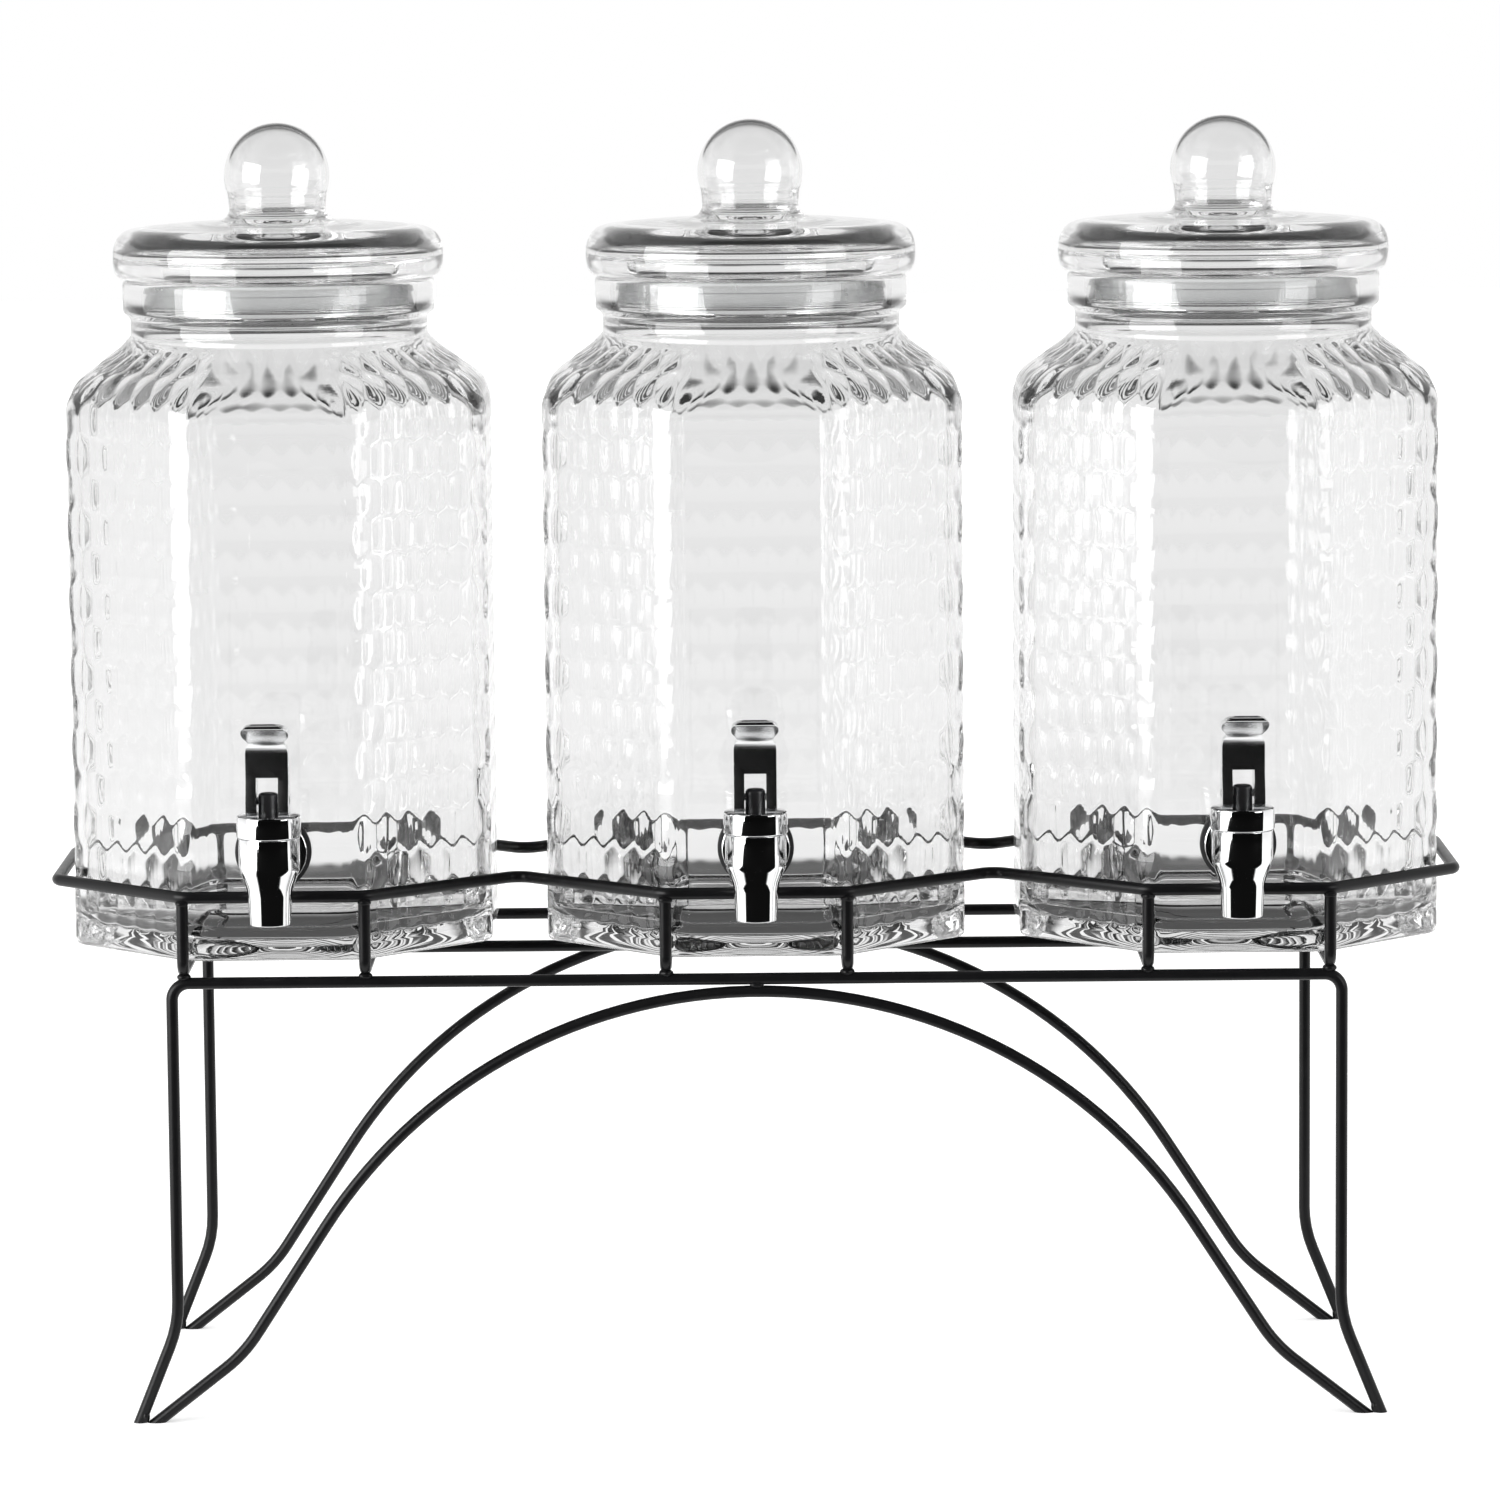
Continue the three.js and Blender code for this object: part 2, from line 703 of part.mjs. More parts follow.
// The cap screws into the body, guides the stem and carries the spring's upper end.
function spigotCap() {
  const bottom = bodyRise + seatGap;
  const top = bottom + capHeight;
  return revolve(outline([
    [stemDiameter / 2 + seatGap, top - capRoof],
    [capBore / 2, top - capRoof],
    [capBore / 2, bottom - capPlugDepth],
    [chamberBore / 2 - seatGap, bottom - capPlugDepth],
    [chamberBore / 2 - seatGap, bottom],
    [capDiameter / 2, bottom],
    [capDiameter / 2, top - capEdge],
    [capDiameter / 2 - capEdge, top],
    [stemDiameter / 2 + seatGap, top],
    [stemDiameter / 2 + seatGap, top - capRoof],
  ]), roundSegments);
}

const sealBottom = -seatDrop + 2 * seatGap;
const sealTop = sealBottom + seatHeight;
const springSeatBottom = sealTop + seatGap;
const springSeatTop = springSeatBottom + springSeatThickness;
const springTop = bodyRise + seatGap + capHeight - capRoof;

// The stem: a guided head with the pin's hole, a rod inside the spring, and the seal's peg.
function valveStem() {
  const headBottom = springSeatTop + stemNeckHeight;
  const stem = revolve(outline([
    [0, sealBottom - seatGap - buttonThickness],
    [buttonDiameter / 2, sealBottom - seatGap - buttonThickness],
    [buttonDiameter / 2, sealBottom - seatGap],
    [stemRodDiameter / 2, sealBottom - seatGap],
    [stemRodDiameter / 2, springSeatBottom],
    [springSeatDiameter / 2, springSeatBottom],
    [springSeatDiameter / 2, springSeatTop],
    [stemRodDiameter / 2, springSeatTop],
    [stemDiameter / 2, headBottom],
    [stemDiameter / 2, stemTop - stemEdge],
    [stemDiameter / 2 - stemEdge, stemTop],
    [0, stemTop],
  ]), stemSides);
  const hole = cylinderAlongX(pinDiameter + 2 * seatGap, stemDiameter + 2 * cutOverrun, pinSides);
  hole.translate(0, 0, pinHeight);
  return toGeometry(toSolid(stem).subtract(toSolid(hole)));
}

// The rubber seal is a cup whose cone closes the conical seat in the body.
function valveSeal() {
  const inner = stemRodDiameter / 2 + seatGap;
  const waist = nozzleBore / 2 - sealWaistClearance;
  const outer = chamberBore / 2 - sealRimClearance;
  return revolve(outline([
    [inner, sealBottom],
    [waist, sealBottom],
    [outer, sealTop - springSeatThickness],
    [outer, sealTop],
    [inner, sealTop],
    [inner, sealBottom],
  ]), stemSides);
}

class Helix extends THREE.Curve {
  constructor(radius, low, high, turns) {
    super();
    Object.assign(this, { radius, low, high, turns });
  }

  getPoint(share, target = new THREE.Vector3()) {
    const angle = share * this.turns * 2 * Math.PI;
    const height = THREE.MathUtils.lerp(this.low, this.high, share);
    return target.set(this.radius * Math.cos(angle), this.radius * Math.sin(angle), height);
  }
}

// The spring stands round the stem, between its lower collar and the roof of the cap.
function valveSpring() {
  const wireHalf = springWire / 2;
  const low = springSeatTop + seatGap + wireHalf;
  const high = springTop - seatGap - wireHalf;
  const section = flatSided(wireHalf, springSides);
  const path = new Helix(springDiameter / 2, low, high, springTurns);
  return new THREE.ExtrudeGeometry(section, { steps: springTurns * springTurnSteps, extrudePath: path });
}

// The cam foot of the lever's cheeks. Its outline is an involute, so the pin rises in step with
// the lever's angle while the foot stays seated on the cap.
function camPoints() {
  const liftPerRadian = valveLift / leverOpening;
  const points = [];
  for (let k = 0; k <= camSteps; k += 1) {
    const angle = (leverOpening * k) / camSteps;
    const height = pinHeadroom + liftPerRadian * angle;
    points.push([
      height * Math.sin(angle) + liftPerRadian * Math.cos(angle),
      -height * Math.cos(angle) + liftPerRadian * Math.sin(angle),
    ]);
  }
  return points;
}

// The lever seen from the side, with x towards the front and y up from the pin.
function leverSide() {
  const cam = camPoints();
  const [camFront] = cam[cam.length - 1];
  const tipRise = leverHeight - paddleThickness;
  const side = new THREE.Shape();
  side.moveTo(-leverBack, -pinHeadroom);
  cam.forEach(([x, y]) => side.lineTo(x, y));
  side.lineTo(camFront, 0);
  side.lineTo(blockFront, windowHeight);
  side.lineTo(blockFront, (windowHeight + leverHeight) / 2 - paddleThickness);
  side.quadraticCurveTo(
    blockFront + paddleThickness,
    tipRise - paddleThickness,
    leverReach - paddleThickness,
    tipRise,
  );
  side.lineTo(leverReach, tipRise + paddleThickness / 2);
  side.lineTo(leverReach - paddleThickness / 2, leverHeight);
  side.quadraticCurveTo(
    blockFront,
    leverHeight - paddleThickness / 2,
    -blockBack,
    windowHeight + blockFront,
  );
  side.lineTo(-leverBack, windowHeight / 2);
  side.closePath();
  return side;
}

// The lever seen from the front: a block over the fork, a waist, and a rounded paddle end.
function leverFront() {
  const shoulder = (windowHeight + leverHeight) / 2;
  const waistHeight = shoulder + paddleThickness;
  const tipCorner = leverHeight - paddleThickness;
  const front = new THREE.Shape();
  front.moveTo(-leverWidth / 2, -pinHeadroom - cutOverrun);
  front.lineTo(leverWidth / 2, -pinHeadroom - cutOverrun);
  front.lineTo(leverWidth / 2, shoulder - paddleThickness);
  front.quadraticCurveTo(leverWidth / 2, shoulder, leverWaist / 2, waistHeight);
  front.quadraticCurveTo(leverWaist / 2, tipCorner - seatGap, leverTipWidth / 2, tipCorner);
  front.quadraticCurveTo(leverWaist / 2, leverHeight + seatGap, 0, leverHeight + seatGap);
  front.quadraticCurveTo(-leverWaist / 2, leverHeight + seatGap, -leverTipWidth / 2, tipCorner);
  front.quadraticCurveTo(-leverWaist / 2, tipCorner - seatGap, -leverWaist / 2, waistHeight);
  front.quadraticCurveTo(-leverWidth / 2, shoulder, -leverWidth / 2, shoulder - paddleThickness);
  front.closePath();
  return front;
}

function leverGeometry() {
  const width = leverTipWidth + cutOverrun;
  const side = new THREE.ExtrudeGeometry(leverSide(), {
    depth: width, bevelEnabled: false, curveSegments: curveSteps,
  });
  side.applyMatrix4(new THREE.Matrix4().makeBasis(
    new THREE.Vector3(0, -1, 0),
    new THREE.Vector3(0, 0, 1),
    new THREE.Vector3(-1, 0, 0),
  ).setPosition(width / 2, 0, 0));
  const depth = leverReach + leverBack + 2 * cutOverrun;
  const front = new THREE.ExtrudeGeometry(leverFront(), {
    depth, bevelEnabled: false, curveSegments: curveSteps - 1,
  });
  front.applyMatrix4(new THREE.Matrix4().makeBasis(
    new THREE.Vector3(1, 0, 0),
    new THREE.Vector3(0, 0, 1),
    new THREE.Vector3(0, -1, 0),
  ).setPosition(0, leverBack + cutOverrun, 0));
  const fork = boxBetween(
    new THREE.Vector3(-forkWidth / 2, -leverReach, -pinHeadroom - cutOverrun),
    new THREE.Vector3(forkWidth / 2, leverBack + cutOverrun, windowHeight),
  );
  const hole = cylinderAlongX(pinDiameter + 2 * seatGap, width, pinSides);
  return toGeometry(
    toSolid(side).intersect(toSolid(front)).subtract(toSolid(fork)).subtract(toSolid(hole)),
  );
}

function washer(outerDiameter, thickness, from) {
  return ringAlongY(outerDiameter, shankDiameter + 2 * seatGap, from, from + thickness, roundSegments);
}

function nut(from) {
  const acrossCorners = nutAcrossFlats / Math.cos(Math.PI / nutFlats);
  const to = from + nutThickness;
  const blank = cylinderAlongY(acrossCorners, from, to, nutFlats);
  const holeDiameter = shankDiameter + 2 * seatGap;
  const hole = cylinderAlongY(holeDiameter, from - cutOverrun, to + cutOverrun, roundSegments);
  return toGeometry(toSolid(blank).subtract(toSolid(hole)));
}

function spigot(name) {
  const group = new THREE.Group();
  const outerWasherFrom = spigotReach - seatGap - outerWasherThickness;
  const innerWasherFrom = spigotReach + jarWall + seatGap;
  const nutFrom = innerWasherFrom + innerWasherThickness + seatGap;
  const pinLength = leverWidth - seatGap;
  const lever = namedMesh(`${name}_lever`, leverGeometry(), chrome);
  const pin = namedMesh(`${name}_lever_pin`, cylinderAlongX(pinDiameter, pinLength, pinSides), steel);
  lever.position.z = pinHeight;
  pin.position.z = pinHeight;
  group.add(lever, pin);
  group.add(namedMesh(`${name}_spigot_body`, spigotBody(), chrome));
  group.add(namedMesh(`${name}_spigot_cap`, spigotCap(), chrome));
  group.add(namedMesh(`${name}_valve_stem`, valveStem(), blackPlastic));
  group.add(namedMesh(`${name}_valve_seal`, valveSeal(), blackRubber));
  group.add(namedMesh(`${name}_valve_spring`, valveSpring(), steel));
  group.add(namedMesh(
    `${name}_outer_washer`,
    washer(outerWasherDiameter, outerWasherThickness, outerWasherFrom),
    blackRubber,
  ));
  group.add(namedMesh(
    `${name}_inner_washer`,
    washer(innerWasherDiameter, innerWasherThickness, innerWasherFrom),
    blackRubber,
  ));
  group.add(namedMesh(`${name}_shank_nut`, nut(nutFrom), blackPlastic));
  return group;
}

// One dispenser: the jar on its base, its lid and gasket on the rim, its spigot in the front facet.
function dispenser(name) {
  const group = new THREE.Group();
  group.add(namedMesh(`${name}_jar`, jar(), clearGlass));
  const lidMesh = namedMesh(`${name}_lid`, lid(), clearGlass);
  const gasketMesh = namedMesh(`${name}_lid_gasket`, lidGasket(), clearSilicone);
  lidMesh.position.z = jarHeight;
  gasketMesh.position.z = jarHeight;
  group.add(lidMesh, gasketMesh);
  const tap = spigot(name);
  tap.position.set(0, spigotAxisY, shankHeight);
  group.add(tap);
  return group;
}

const model = new THREE.Group();
model.position.y = originShift;
model.add(stand());
bayNames.forEach((name, index) => {
  const unit = dispenser(name);
  unit.position.set(bayCentre(index), 0, jarBase);
  model.add(unit);
});

export default model;
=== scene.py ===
# %% [markdown]
# # Triple beverage dispenser
# Three clear glass jars with ball-knob lids and chromed lever spigots stand in a rack of bent black wire.
# Each cell makes one kind of piece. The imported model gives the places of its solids, and the pieces made
# here are finer forms of them, so each one stands exactly where its solid stands.

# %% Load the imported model
import bpy
import bmesh
import json
import math
from mathutils import Matrix, Vector

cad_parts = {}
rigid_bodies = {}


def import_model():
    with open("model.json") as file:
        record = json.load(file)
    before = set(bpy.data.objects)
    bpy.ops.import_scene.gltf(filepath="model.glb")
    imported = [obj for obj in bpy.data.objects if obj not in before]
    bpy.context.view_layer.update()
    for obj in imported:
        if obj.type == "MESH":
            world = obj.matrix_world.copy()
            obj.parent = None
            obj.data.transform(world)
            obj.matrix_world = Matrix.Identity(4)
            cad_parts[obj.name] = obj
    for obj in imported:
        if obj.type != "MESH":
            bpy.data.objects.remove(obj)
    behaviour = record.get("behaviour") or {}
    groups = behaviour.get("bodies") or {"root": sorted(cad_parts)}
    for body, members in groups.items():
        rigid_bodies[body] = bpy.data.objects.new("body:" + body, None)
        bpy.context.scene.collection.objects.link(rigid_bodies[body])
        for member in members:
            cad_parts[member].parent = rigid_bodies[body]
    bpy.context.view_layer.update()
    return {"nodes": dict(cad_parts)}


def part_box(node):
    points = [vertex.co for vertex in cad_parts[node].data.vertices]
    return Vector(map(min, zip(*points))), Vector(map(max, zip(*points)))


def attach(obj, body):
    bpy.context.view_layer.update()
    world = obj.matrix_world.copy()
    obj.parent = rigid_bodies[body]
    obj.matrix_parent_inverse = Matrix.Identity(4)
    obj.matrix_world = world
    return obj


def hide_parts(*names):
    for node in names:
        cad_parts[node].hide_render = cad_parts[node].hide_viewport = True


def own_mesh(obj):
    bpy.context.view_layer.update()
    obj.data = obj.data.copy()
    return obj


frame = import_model()
mm = 0.001

# %% [markdown]
# ## Places
# All three bays are alike, so one jar, one lid and one spigot are modelled about their own axes, and then
# copied into the bays. The places come from the boxes of the solids.

# %% Places of the bays
bay_names = ["left", "centre", "right"]
jar_low, jar_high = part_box("centre_jar")
cap_low, cap_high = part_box("centre_spigot_cap")
shank_height = 46.3 * mm
jar_reach = (jar_high.x - jar_low.x) / 2
row_y = (jar_low.y + jar_high.y) / 2
jar_base = jar_low.z
jar_height = jar_high.z - jar_low.z
spigot_y = (cap_low.y + cap_high.y) / 2
spigot_z = jar_base + shank_height
bay_x = {}
for bay in bay_names:
    low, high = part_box(f"{bay}_jar")
    bay_x[bay] = (low.x + high.x) / 2
print("bays at", bay_x, "jar base", jar_base, "spigot axis", spigot_y, spigot_z)

# %% [markdown]
# ## Helpers for outlines and turned pieces
# Most pieces are turned about an axis: lids, spigot bodies, caps and washers. Such a piece starts as a
# circle whose points are moved onto the outline, and the spin operator turns it. An outline's corners are
# rounded first, because real edges are never quite sharp and a small round catches the light.

# %% Outline helpers
merge_gap = 0.002 * mm
arc_step = math.radians(11)


def rounded(corners, closed=False, step=arc_step):
    """Rounds an outline's corners. Each corner is (across, up, radius)."""
    places = [Vector(corner[:2]) for corner in corners]
    outline = []
    for index, place in enumerate(places):
        radius = corners[index][2]
        is_end = not closed and index in (0, len(places) - 1)
        if is_end or radius == 0:
            outline.append(place)
            continue
        before = (place - places[index - 1]).normalized()
        after = (places[(index + 1) % len(places)] - place).normalized()
        turn = math.atan2(before.cross(after), before.dot(after))
        start = place - before * radius * math.tan(abs(turn) / 2)
        side = math.copysign(radius, turn)
        centre = start + Vector((-before.y, before.x)) * side
        steps = max(2, math.ceil(abs(turn) / step))
        for count in range(steps + 1):
            spoke = start - centre
            spoke.rotate(Matrix.Rotation(turn * count / steps, 2))
            outline.append(centre + spoke)
    return outline


def bezier(handles, steps):
    """Points along a Bezier curve with any number of handles."""
    points = []
    for count in range(steps + 1):
        share = count / steps
        level = [Vector(handle) for handle in handles]
        while len(level) > 1:
            level = [first.lerp(second, share) for first, second in zip(level, level[1:])]
        points.append(level[0])
    return points


def carried_on(outline, *curves):
    """The outline with Bezier curves added. Each has its steps and the handles after the last point."""
    for steps, *handles in curves:
        outline = outline + bezier([outline[-1], *handles], steps)[1:]
    return outline


# %% Mesh helpers


def clear_selection():
    if bpy.context.object and bpy.context.object.mode != "OBJECT":
        bpy.ops.object.mode_set(mode="OBJECT")
    bpy.ops.object.select_all(action="DESELECT")


def make_active(piece):
    clear_selection()
    piece.select_set(True)
    bpy.context.view_layer.objects.active = piece


def lay(axis, level, pair):
    """A place in space: a level along one axis, and a pair for the other two."""
    place = list(pair)
    place.insert("XYZ".index(axis), level)
    return Vector(place)


def draw_outline(name, places, closed):
    """A loop or line of edges through the places, started from a circle."""
    clear_selection()
    bpy.ops.mesh.primitive_circle_add(vertices=len(places), radius=jar_reach)
    drawn = bpy.context.object
    drawn.name = name
    for vertex, place in zip(drawn.data.vertices, places):
        vertex.co = place
    if not closed:
        sheet = bmesh.new()
        sheet.from_mesh(drawn.data)
        sheet.verts.ensure_lookup_table()
        sheet.edges.remove(sheet.edges.get((sheet.verts[0], sheet.verts[-1])))
        sheet.to_mesh(drawn.data)
        sheet.free()
    return drawn


def start_edit():
    bpy.ops.object.mode_set(mode="EDIT")
    bpy.ops.mesh.select_all(action="SELECT")


def end_edit():
    """Merges doubles, turns all faces outwards and leaves edit mode."""
    bpy.ops.mesh.select_all(action="SELECT")
    bpy.ops.mesh.remove_doubles(threshold=merge_gap)
    bpy.ops.mesh.dissolve_degenerate(threshold=merge_gap)
    bpy.ops.mesh.select_all(action="SELECT")
    bpy.ops.mesh.normals_make_consistent(inside=False)
    bpy.ops.object.mode_set(mode="OBJECT")


def smooth(piece, degrees):
    """Shades a piece smooth across all edges that are flatter than an angle."""
    make_active(piece)
    bpy.ops.object.shade_smooth_by_angle(angle=math.radians(degrees))


def turned(name, corners, axis="Z", steps=96, degrees=40):
    """Spins (reach, along, radius) corners, rounded first, and closed where they start off the axis."""
    closed = corners[0][0] > merge_gap
    outline = [lay(axis, place.y, (place.x, 0)) for place in rounded(corners, closed)]
    piece = draw_outline(name, outline, closed)
    start_edit()
    bpy.ops.mesh.spin(steps=steps, angle=2 * math.pi, center=(0, 0, 0), axis=lay(axis, 1, (0, 0)))
    end_edit()
    smooth(piece, degrees)
    return piece


def rod(name, reach, start, end, bend=0, **turning):
    """A solid round rod from start to end along an axis, with rounded ends."""
    return turned(name, [(0, start, 0), (reach, start, bend), (reach, end, bend), (0, end, 0)], **turning)


def cut(piece, tool, operation="DIFFERENCE"):
    """Cuts one mesh with another and removes the tool."""
    make_active(piece)
    modifier = piece.modifiers.new("cut", "BOOLEAN")
    modifier.operation = operation
    modifier.object = tool
    bpy.ops.object.modifier_apply(modifier=modifier.name)
    bpy.data.objects.remove(tool)


def soften(piece, width, segments, degrees):
    """Rounds all edges that are sharper than an angle."""
    make_active(piece)
    bevel = piece.modifiers.new("rounded", "BEVEL")
    bevel.width = width
    bevel.segments = segments
    bevel.limit_method = "ANGLE"
    bevel.angle_limit = math.radians(degrees)
    bpy.ops.object.modifier_apply(modifier=bevel.name)


def joined(pieces, name):
    """Joins meshes into the first one."""
    clear_selection()
    for piece in pieces:
        piece.select_set(True)
    bpy.context.view_layer.objects.active = pieces[0]
    bpy.ops.object.join()
    pieces[0].name = name
    return pieces[0]


def triangles(piece):
    return sum(len(face.vertices) - 2 for face in piece.data.polygons)


def place_in_bays(pattern, part, group, offset, material):
    """Copies a modelled piece into the three bays, on the body that carries it."""
    pattern.data.materials.clear()
    pattern.data.materials.append(material)
    for bay in bay_names:
        copy = pattern.copy()
        copy.data = pattern.data.copy()
        copy.name = f"{bay}_{part}_piece"
        copy.data.transform(Matrix.Translation(Vector((bay_x[bay], 0, 0)) + offset))
        bpy.context.collection.objects.link(copy)
        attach(copy, f"{bay}_{group}")
        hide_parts(f"{bay}_{part}")
    print(part, "triangles each", triangles(pattern))
    bpy.data.objects.remove(pattern)


# %% [markdown]
# ## Camera
# The view is a long lens a little above the row, looking down by seven degrees. The picture's horizon
# dips to the left by half a degree. A ray meets many skins of glass on its way through the jars, so it may
# bounce often. With fewer bounces the thick edges of the glass would turn black.

# %% Camera
lens = 164.64
sensor = 36
camera_range = 100
glass_bounces = 32
camera_place = Vector((-2.03, -2886.1, 632.3)) * mm
camera_pitch = math.radians(7.114)
camera_roll = math.radians(0.488)
camera_data = bpy.data.cameras.new("camera")
camera_data.lens = lens
camera_data.sensor_width = sensor
camera_data.clip_end = camera_range
camera = bpy.data.objects.new("camera", camera_data)
camera.matrix_world = (
    Matrix.Translation(camera_place)
    @ Matrix.Rotation(math.pi / 2 - camera_pitch, 4, "X")
    @ Matrix.Rotation(-camera_roll, 4, "Z")
)
bpy.context.collection.objects.link(camera)
bpy.context.scene.camera = camera
bpy.context.scene.view_settings.view_transform = "Standard"
bpy.context.scene.cycles.max_bounces = glass_bounces
bpy.context.scene.cycles.transmission_bounces = glass_bounces
bpy.context.scene.cycles.glossy_bounces = glass_bounces

# %% [markdown]
# ## Material helpers
# Every finish is one Principled shader. Its colour, roughness and bump get their detail from noise that
# is laid on the object's own coordinates, so the pattern stays with the piece.

# %% Material helpers


def finish(name, colour, roughness, **sockets):
    """A material with one Principled shader. Other sockets are given by name."""
    material = bpy.data.materials.new(name)
    material.use_nodes = True
    inputs = material.node_tree.nodes["Principled BSDF"].inputs
    inputs["Base Color"].default_value = (*colour, 1)
    inputs["Roughness"].default_value = roughness
    for socket, value in sockets.items():
        inputs[socket.replace("_", " ")].default_value = value
    return material


def patterned(material, socket, kind, entry, scale, detail=3, stretch=(1, 1, 1)):
    """Leads noise on object coordinates through a new node into a socket, and returns the node."""
    tree = material.node_tree
    place = tree.nodes.new("ShaderNodeTexCoord")
    mapping = tree.nodes.new("ShaderNodeMapping")
    pattern = tree.nodes.new("ShaderNodeTexNoise")
    node = tree.nodes.new(kind)
    mapping.inputs["Scale"].default_value = stretch
    pattern.inputs["Scale"].default_value = scale
    pattern.inputs["Detail"].default_value = detail
    tree.links.new(place.outputs["Object"], mapping.inputs["Vector"])
    tree.links.new(mapping.outputs["Vector"], pattern.inputs["Vector"])
    tree.links.new(pattern.outputs["Fac"], node.inputs[entry])
    tree.links.new(node.outputs[0], tree.nodes["Principled BSDF"].inputs[socket])
    return node


def vary(material, low, high, scale, **noise):
    """Lets noise move the roughness between two values."""
    spread = patterned(material, "Roughness", "ShaderNodeMapRange", "Value", scale, **noise)
    spread.inputs["To Min"].default_value = low
    spread.inputs["To Max"].default_value = high


def tint(material, dark, light, scale, **noise):
    """Lets noise move the base colour between two colours."""
    ramp = patterned(material, "Base Color", "ShaderNodeValToRGB", "Fac", scale, **noise)
    ramp.color_ramp.elements[0].color = (*dark, 1)
    ramp.color_ramp.elements[1].color = (*light, 1)


def roughen(material, depth, strength, scale, **noise):
    """Lets noise raise the surface by up to a depth."""
    bump = patterned(material, "Normal", "ShaderNodeBump", "Height", scale, **noise)
    bump.inputs["Strength"].default_value = strength
    bump.inputs["Distance"].default_value = depth


# %% [markdown]
# ## Glass and silicone
# The jars are pressed and the lids blown, both of clear glass. Its skin is never perfectly even: slow
# waves from the mould bend what is seen through it. A weak, wide bump gives these waves. The gaskets
# are clear silicone, softer in gloss and a little cloudy.

# %% Glass and silicone
glass_index = 1.5
glass_wave = 0.25 * mm
silicone_grain = 0.1 * mm


def clear_glass(name, wave_scale, wave_strength, haze):
    glass = finish(name, (1, 1, 1), 0.0, Transmission_Weight=1.0, IOR=glass_index)
    roughen(glass, glass_wave, wave_strength, wave_scale, detail=1)
    vary(glass, 0.0, haze, 160, detail=4)
    return glass


jar_glass = clear_glass("jar_glass", 28, 0.5, 0.012)
lid_glass = clear_glass("lid_glass", 40, 0.25, 0.01)
clear_silicone = finish("clear_silicone", (0.93, 0.94, 0.94), 0.25, Transmission_Weight=0.92, IOR=1.41)
roughen(clear_silicone, silicone_grain, 0.2, 300)
vary(clear_silicone, 0.18, 0.32, 90, detail=4)

# %% [markdown]
# ## Chrome, steel, rubber, plastic and wire coating
# The spigots are plated with chrome over polished metal: a clear mirror with faint waves, and a softer one
# on the lever. The pins and springs are plain steel. The washers and seals are matt black rubber, the nuts
# and valve stems are moulded black plastic, and the rack has a satin black coating that is slightly
# uneven, like orange peel.

# %% Chrome, steel, rubber, plastic and wire coating
polish_wave = 0.05 * mm
rubber_grain = 0.05 * mm
plastic_grain = 0.04 * mm
orange_peel = 0.12 * mm


def plating(name, least, most):
    """Chrome whose roughness lies between two values."""
    metal = finish(name, (0.86, 0.865, 0.87), least, Metallic=1.0)
    vary(metal, least, most, 220, detail=5)
    roughen(metal, polish_wave, 0.12, 90, detail=1)
    return metal


chrome = plating("chrome", 0.025, 0.075)
satin_chrome = plating("satin_chrome", 0.17, 0.24)

steel = finish("steel", (0.62, 0.63, 0.64), 0.25, Metallic=1.0)
vary(steel, 0.18, 0.36, 900, stretch=(1, 1, 6))

black_rubber = finish("black_rubber", (0.012, 0.012, 0.013), 0.62)
tint(black_rubber, (0.009, 0.009, 0.01), (0.022, 0.022, 0.023), 700)
roughen(black_rubber, rubber_grain, 0.4, 1600)

black_plastic = finish("black_plastic", (0.018, 0.018, 0.02), 0.33)
vary(black_plastic, 0.26, 0.42, 500)
roughen(black_plastic, plastic_grain, 0.25, 1100)

black_coating = finish("black_coating", (0.005, 0.005, 0.0055), 0.3, Specular_IOR_Level=0.22)
tint(black_coating, (0.003, 0.003, 0.0035), (0.008, 0.008, 0.0085), 120, detail=5)
vary(black_coating, 0.24, 0.38, 260, detail=4)
roughen(black_coating, orange_peel, 0.35, 850, detail=2)

# %% [markdown]
# ## Hammered jar
# The jar is a square-shouldered octagon that becomes a round neck. Seven facets and the shoulder carry a
# hammered relief of upright ovals in staggered rows. The front facet is a smooth pane for the spigot. The
# relief bends light, so it has to be in the mesh and not in a bump. A grid is wrapped round the jar in
# code: each of its rows is a ring of the octagon, and each point is set in by the relief at its place.

# %% Jar rings
facet_count = 8
half_turn = math.pi / facet_count
jar_corner = 14 * mm


def ring_place(reach, roundness, station):
    """Place and outward direction on a level ring. Stations count facets from the front one."""
    facet = math.floor(station + 0.5)
    across_share = 2 * (station - facet)
    corner = min(jar_corner, reach)
    corner += (reach - corner) * roundness
    flat = (reach - corner) * math.tan(half_turn)
    along = abs(across_share) * (flat + corner * half_turn)
    side = math.copysign(1, across_share)
    heading = facet * 2 * half_turn - math.pi / 2
    turn = side * max(0, along - flat) / corner
    out = (math.cos(heading), math.sin(heading))
    normal = (math.cos(heading + turn), math.sin(heading + turn))
    slide = side * min(along, flat)
    x = out[0] * (reach - corner) - out[1] * slide + normal[0] * corner
    y = out[1] * (reach - corner) + out[0] * slide + normal[1] * corner
    return x, y, normal


def resampled(profile, step):
    """Places at even steps along a profile of (reach, height, roundness), with how far along each is."""
    marks = [0]
    for before, after in zip(profile, profile[1:]):
        marks.append(marks[-1] + math.dist(before[:2], after[:2]))
    count = math.ceil(marks[-1] / step)
    rows = []
    index = 0
    for mark in [marks[-1] * k / count for k in range(count + 1)]:
        while index < len(marks) - 2 and marks[index + 1] < mark:
            index += 1
        share = (mark - marks[index]) / (marks[index + 1] - marks[index])
        rows.append((Vector(profile[index]).lerp(Vector(profile[index + 1]), share), mark))
    return rows


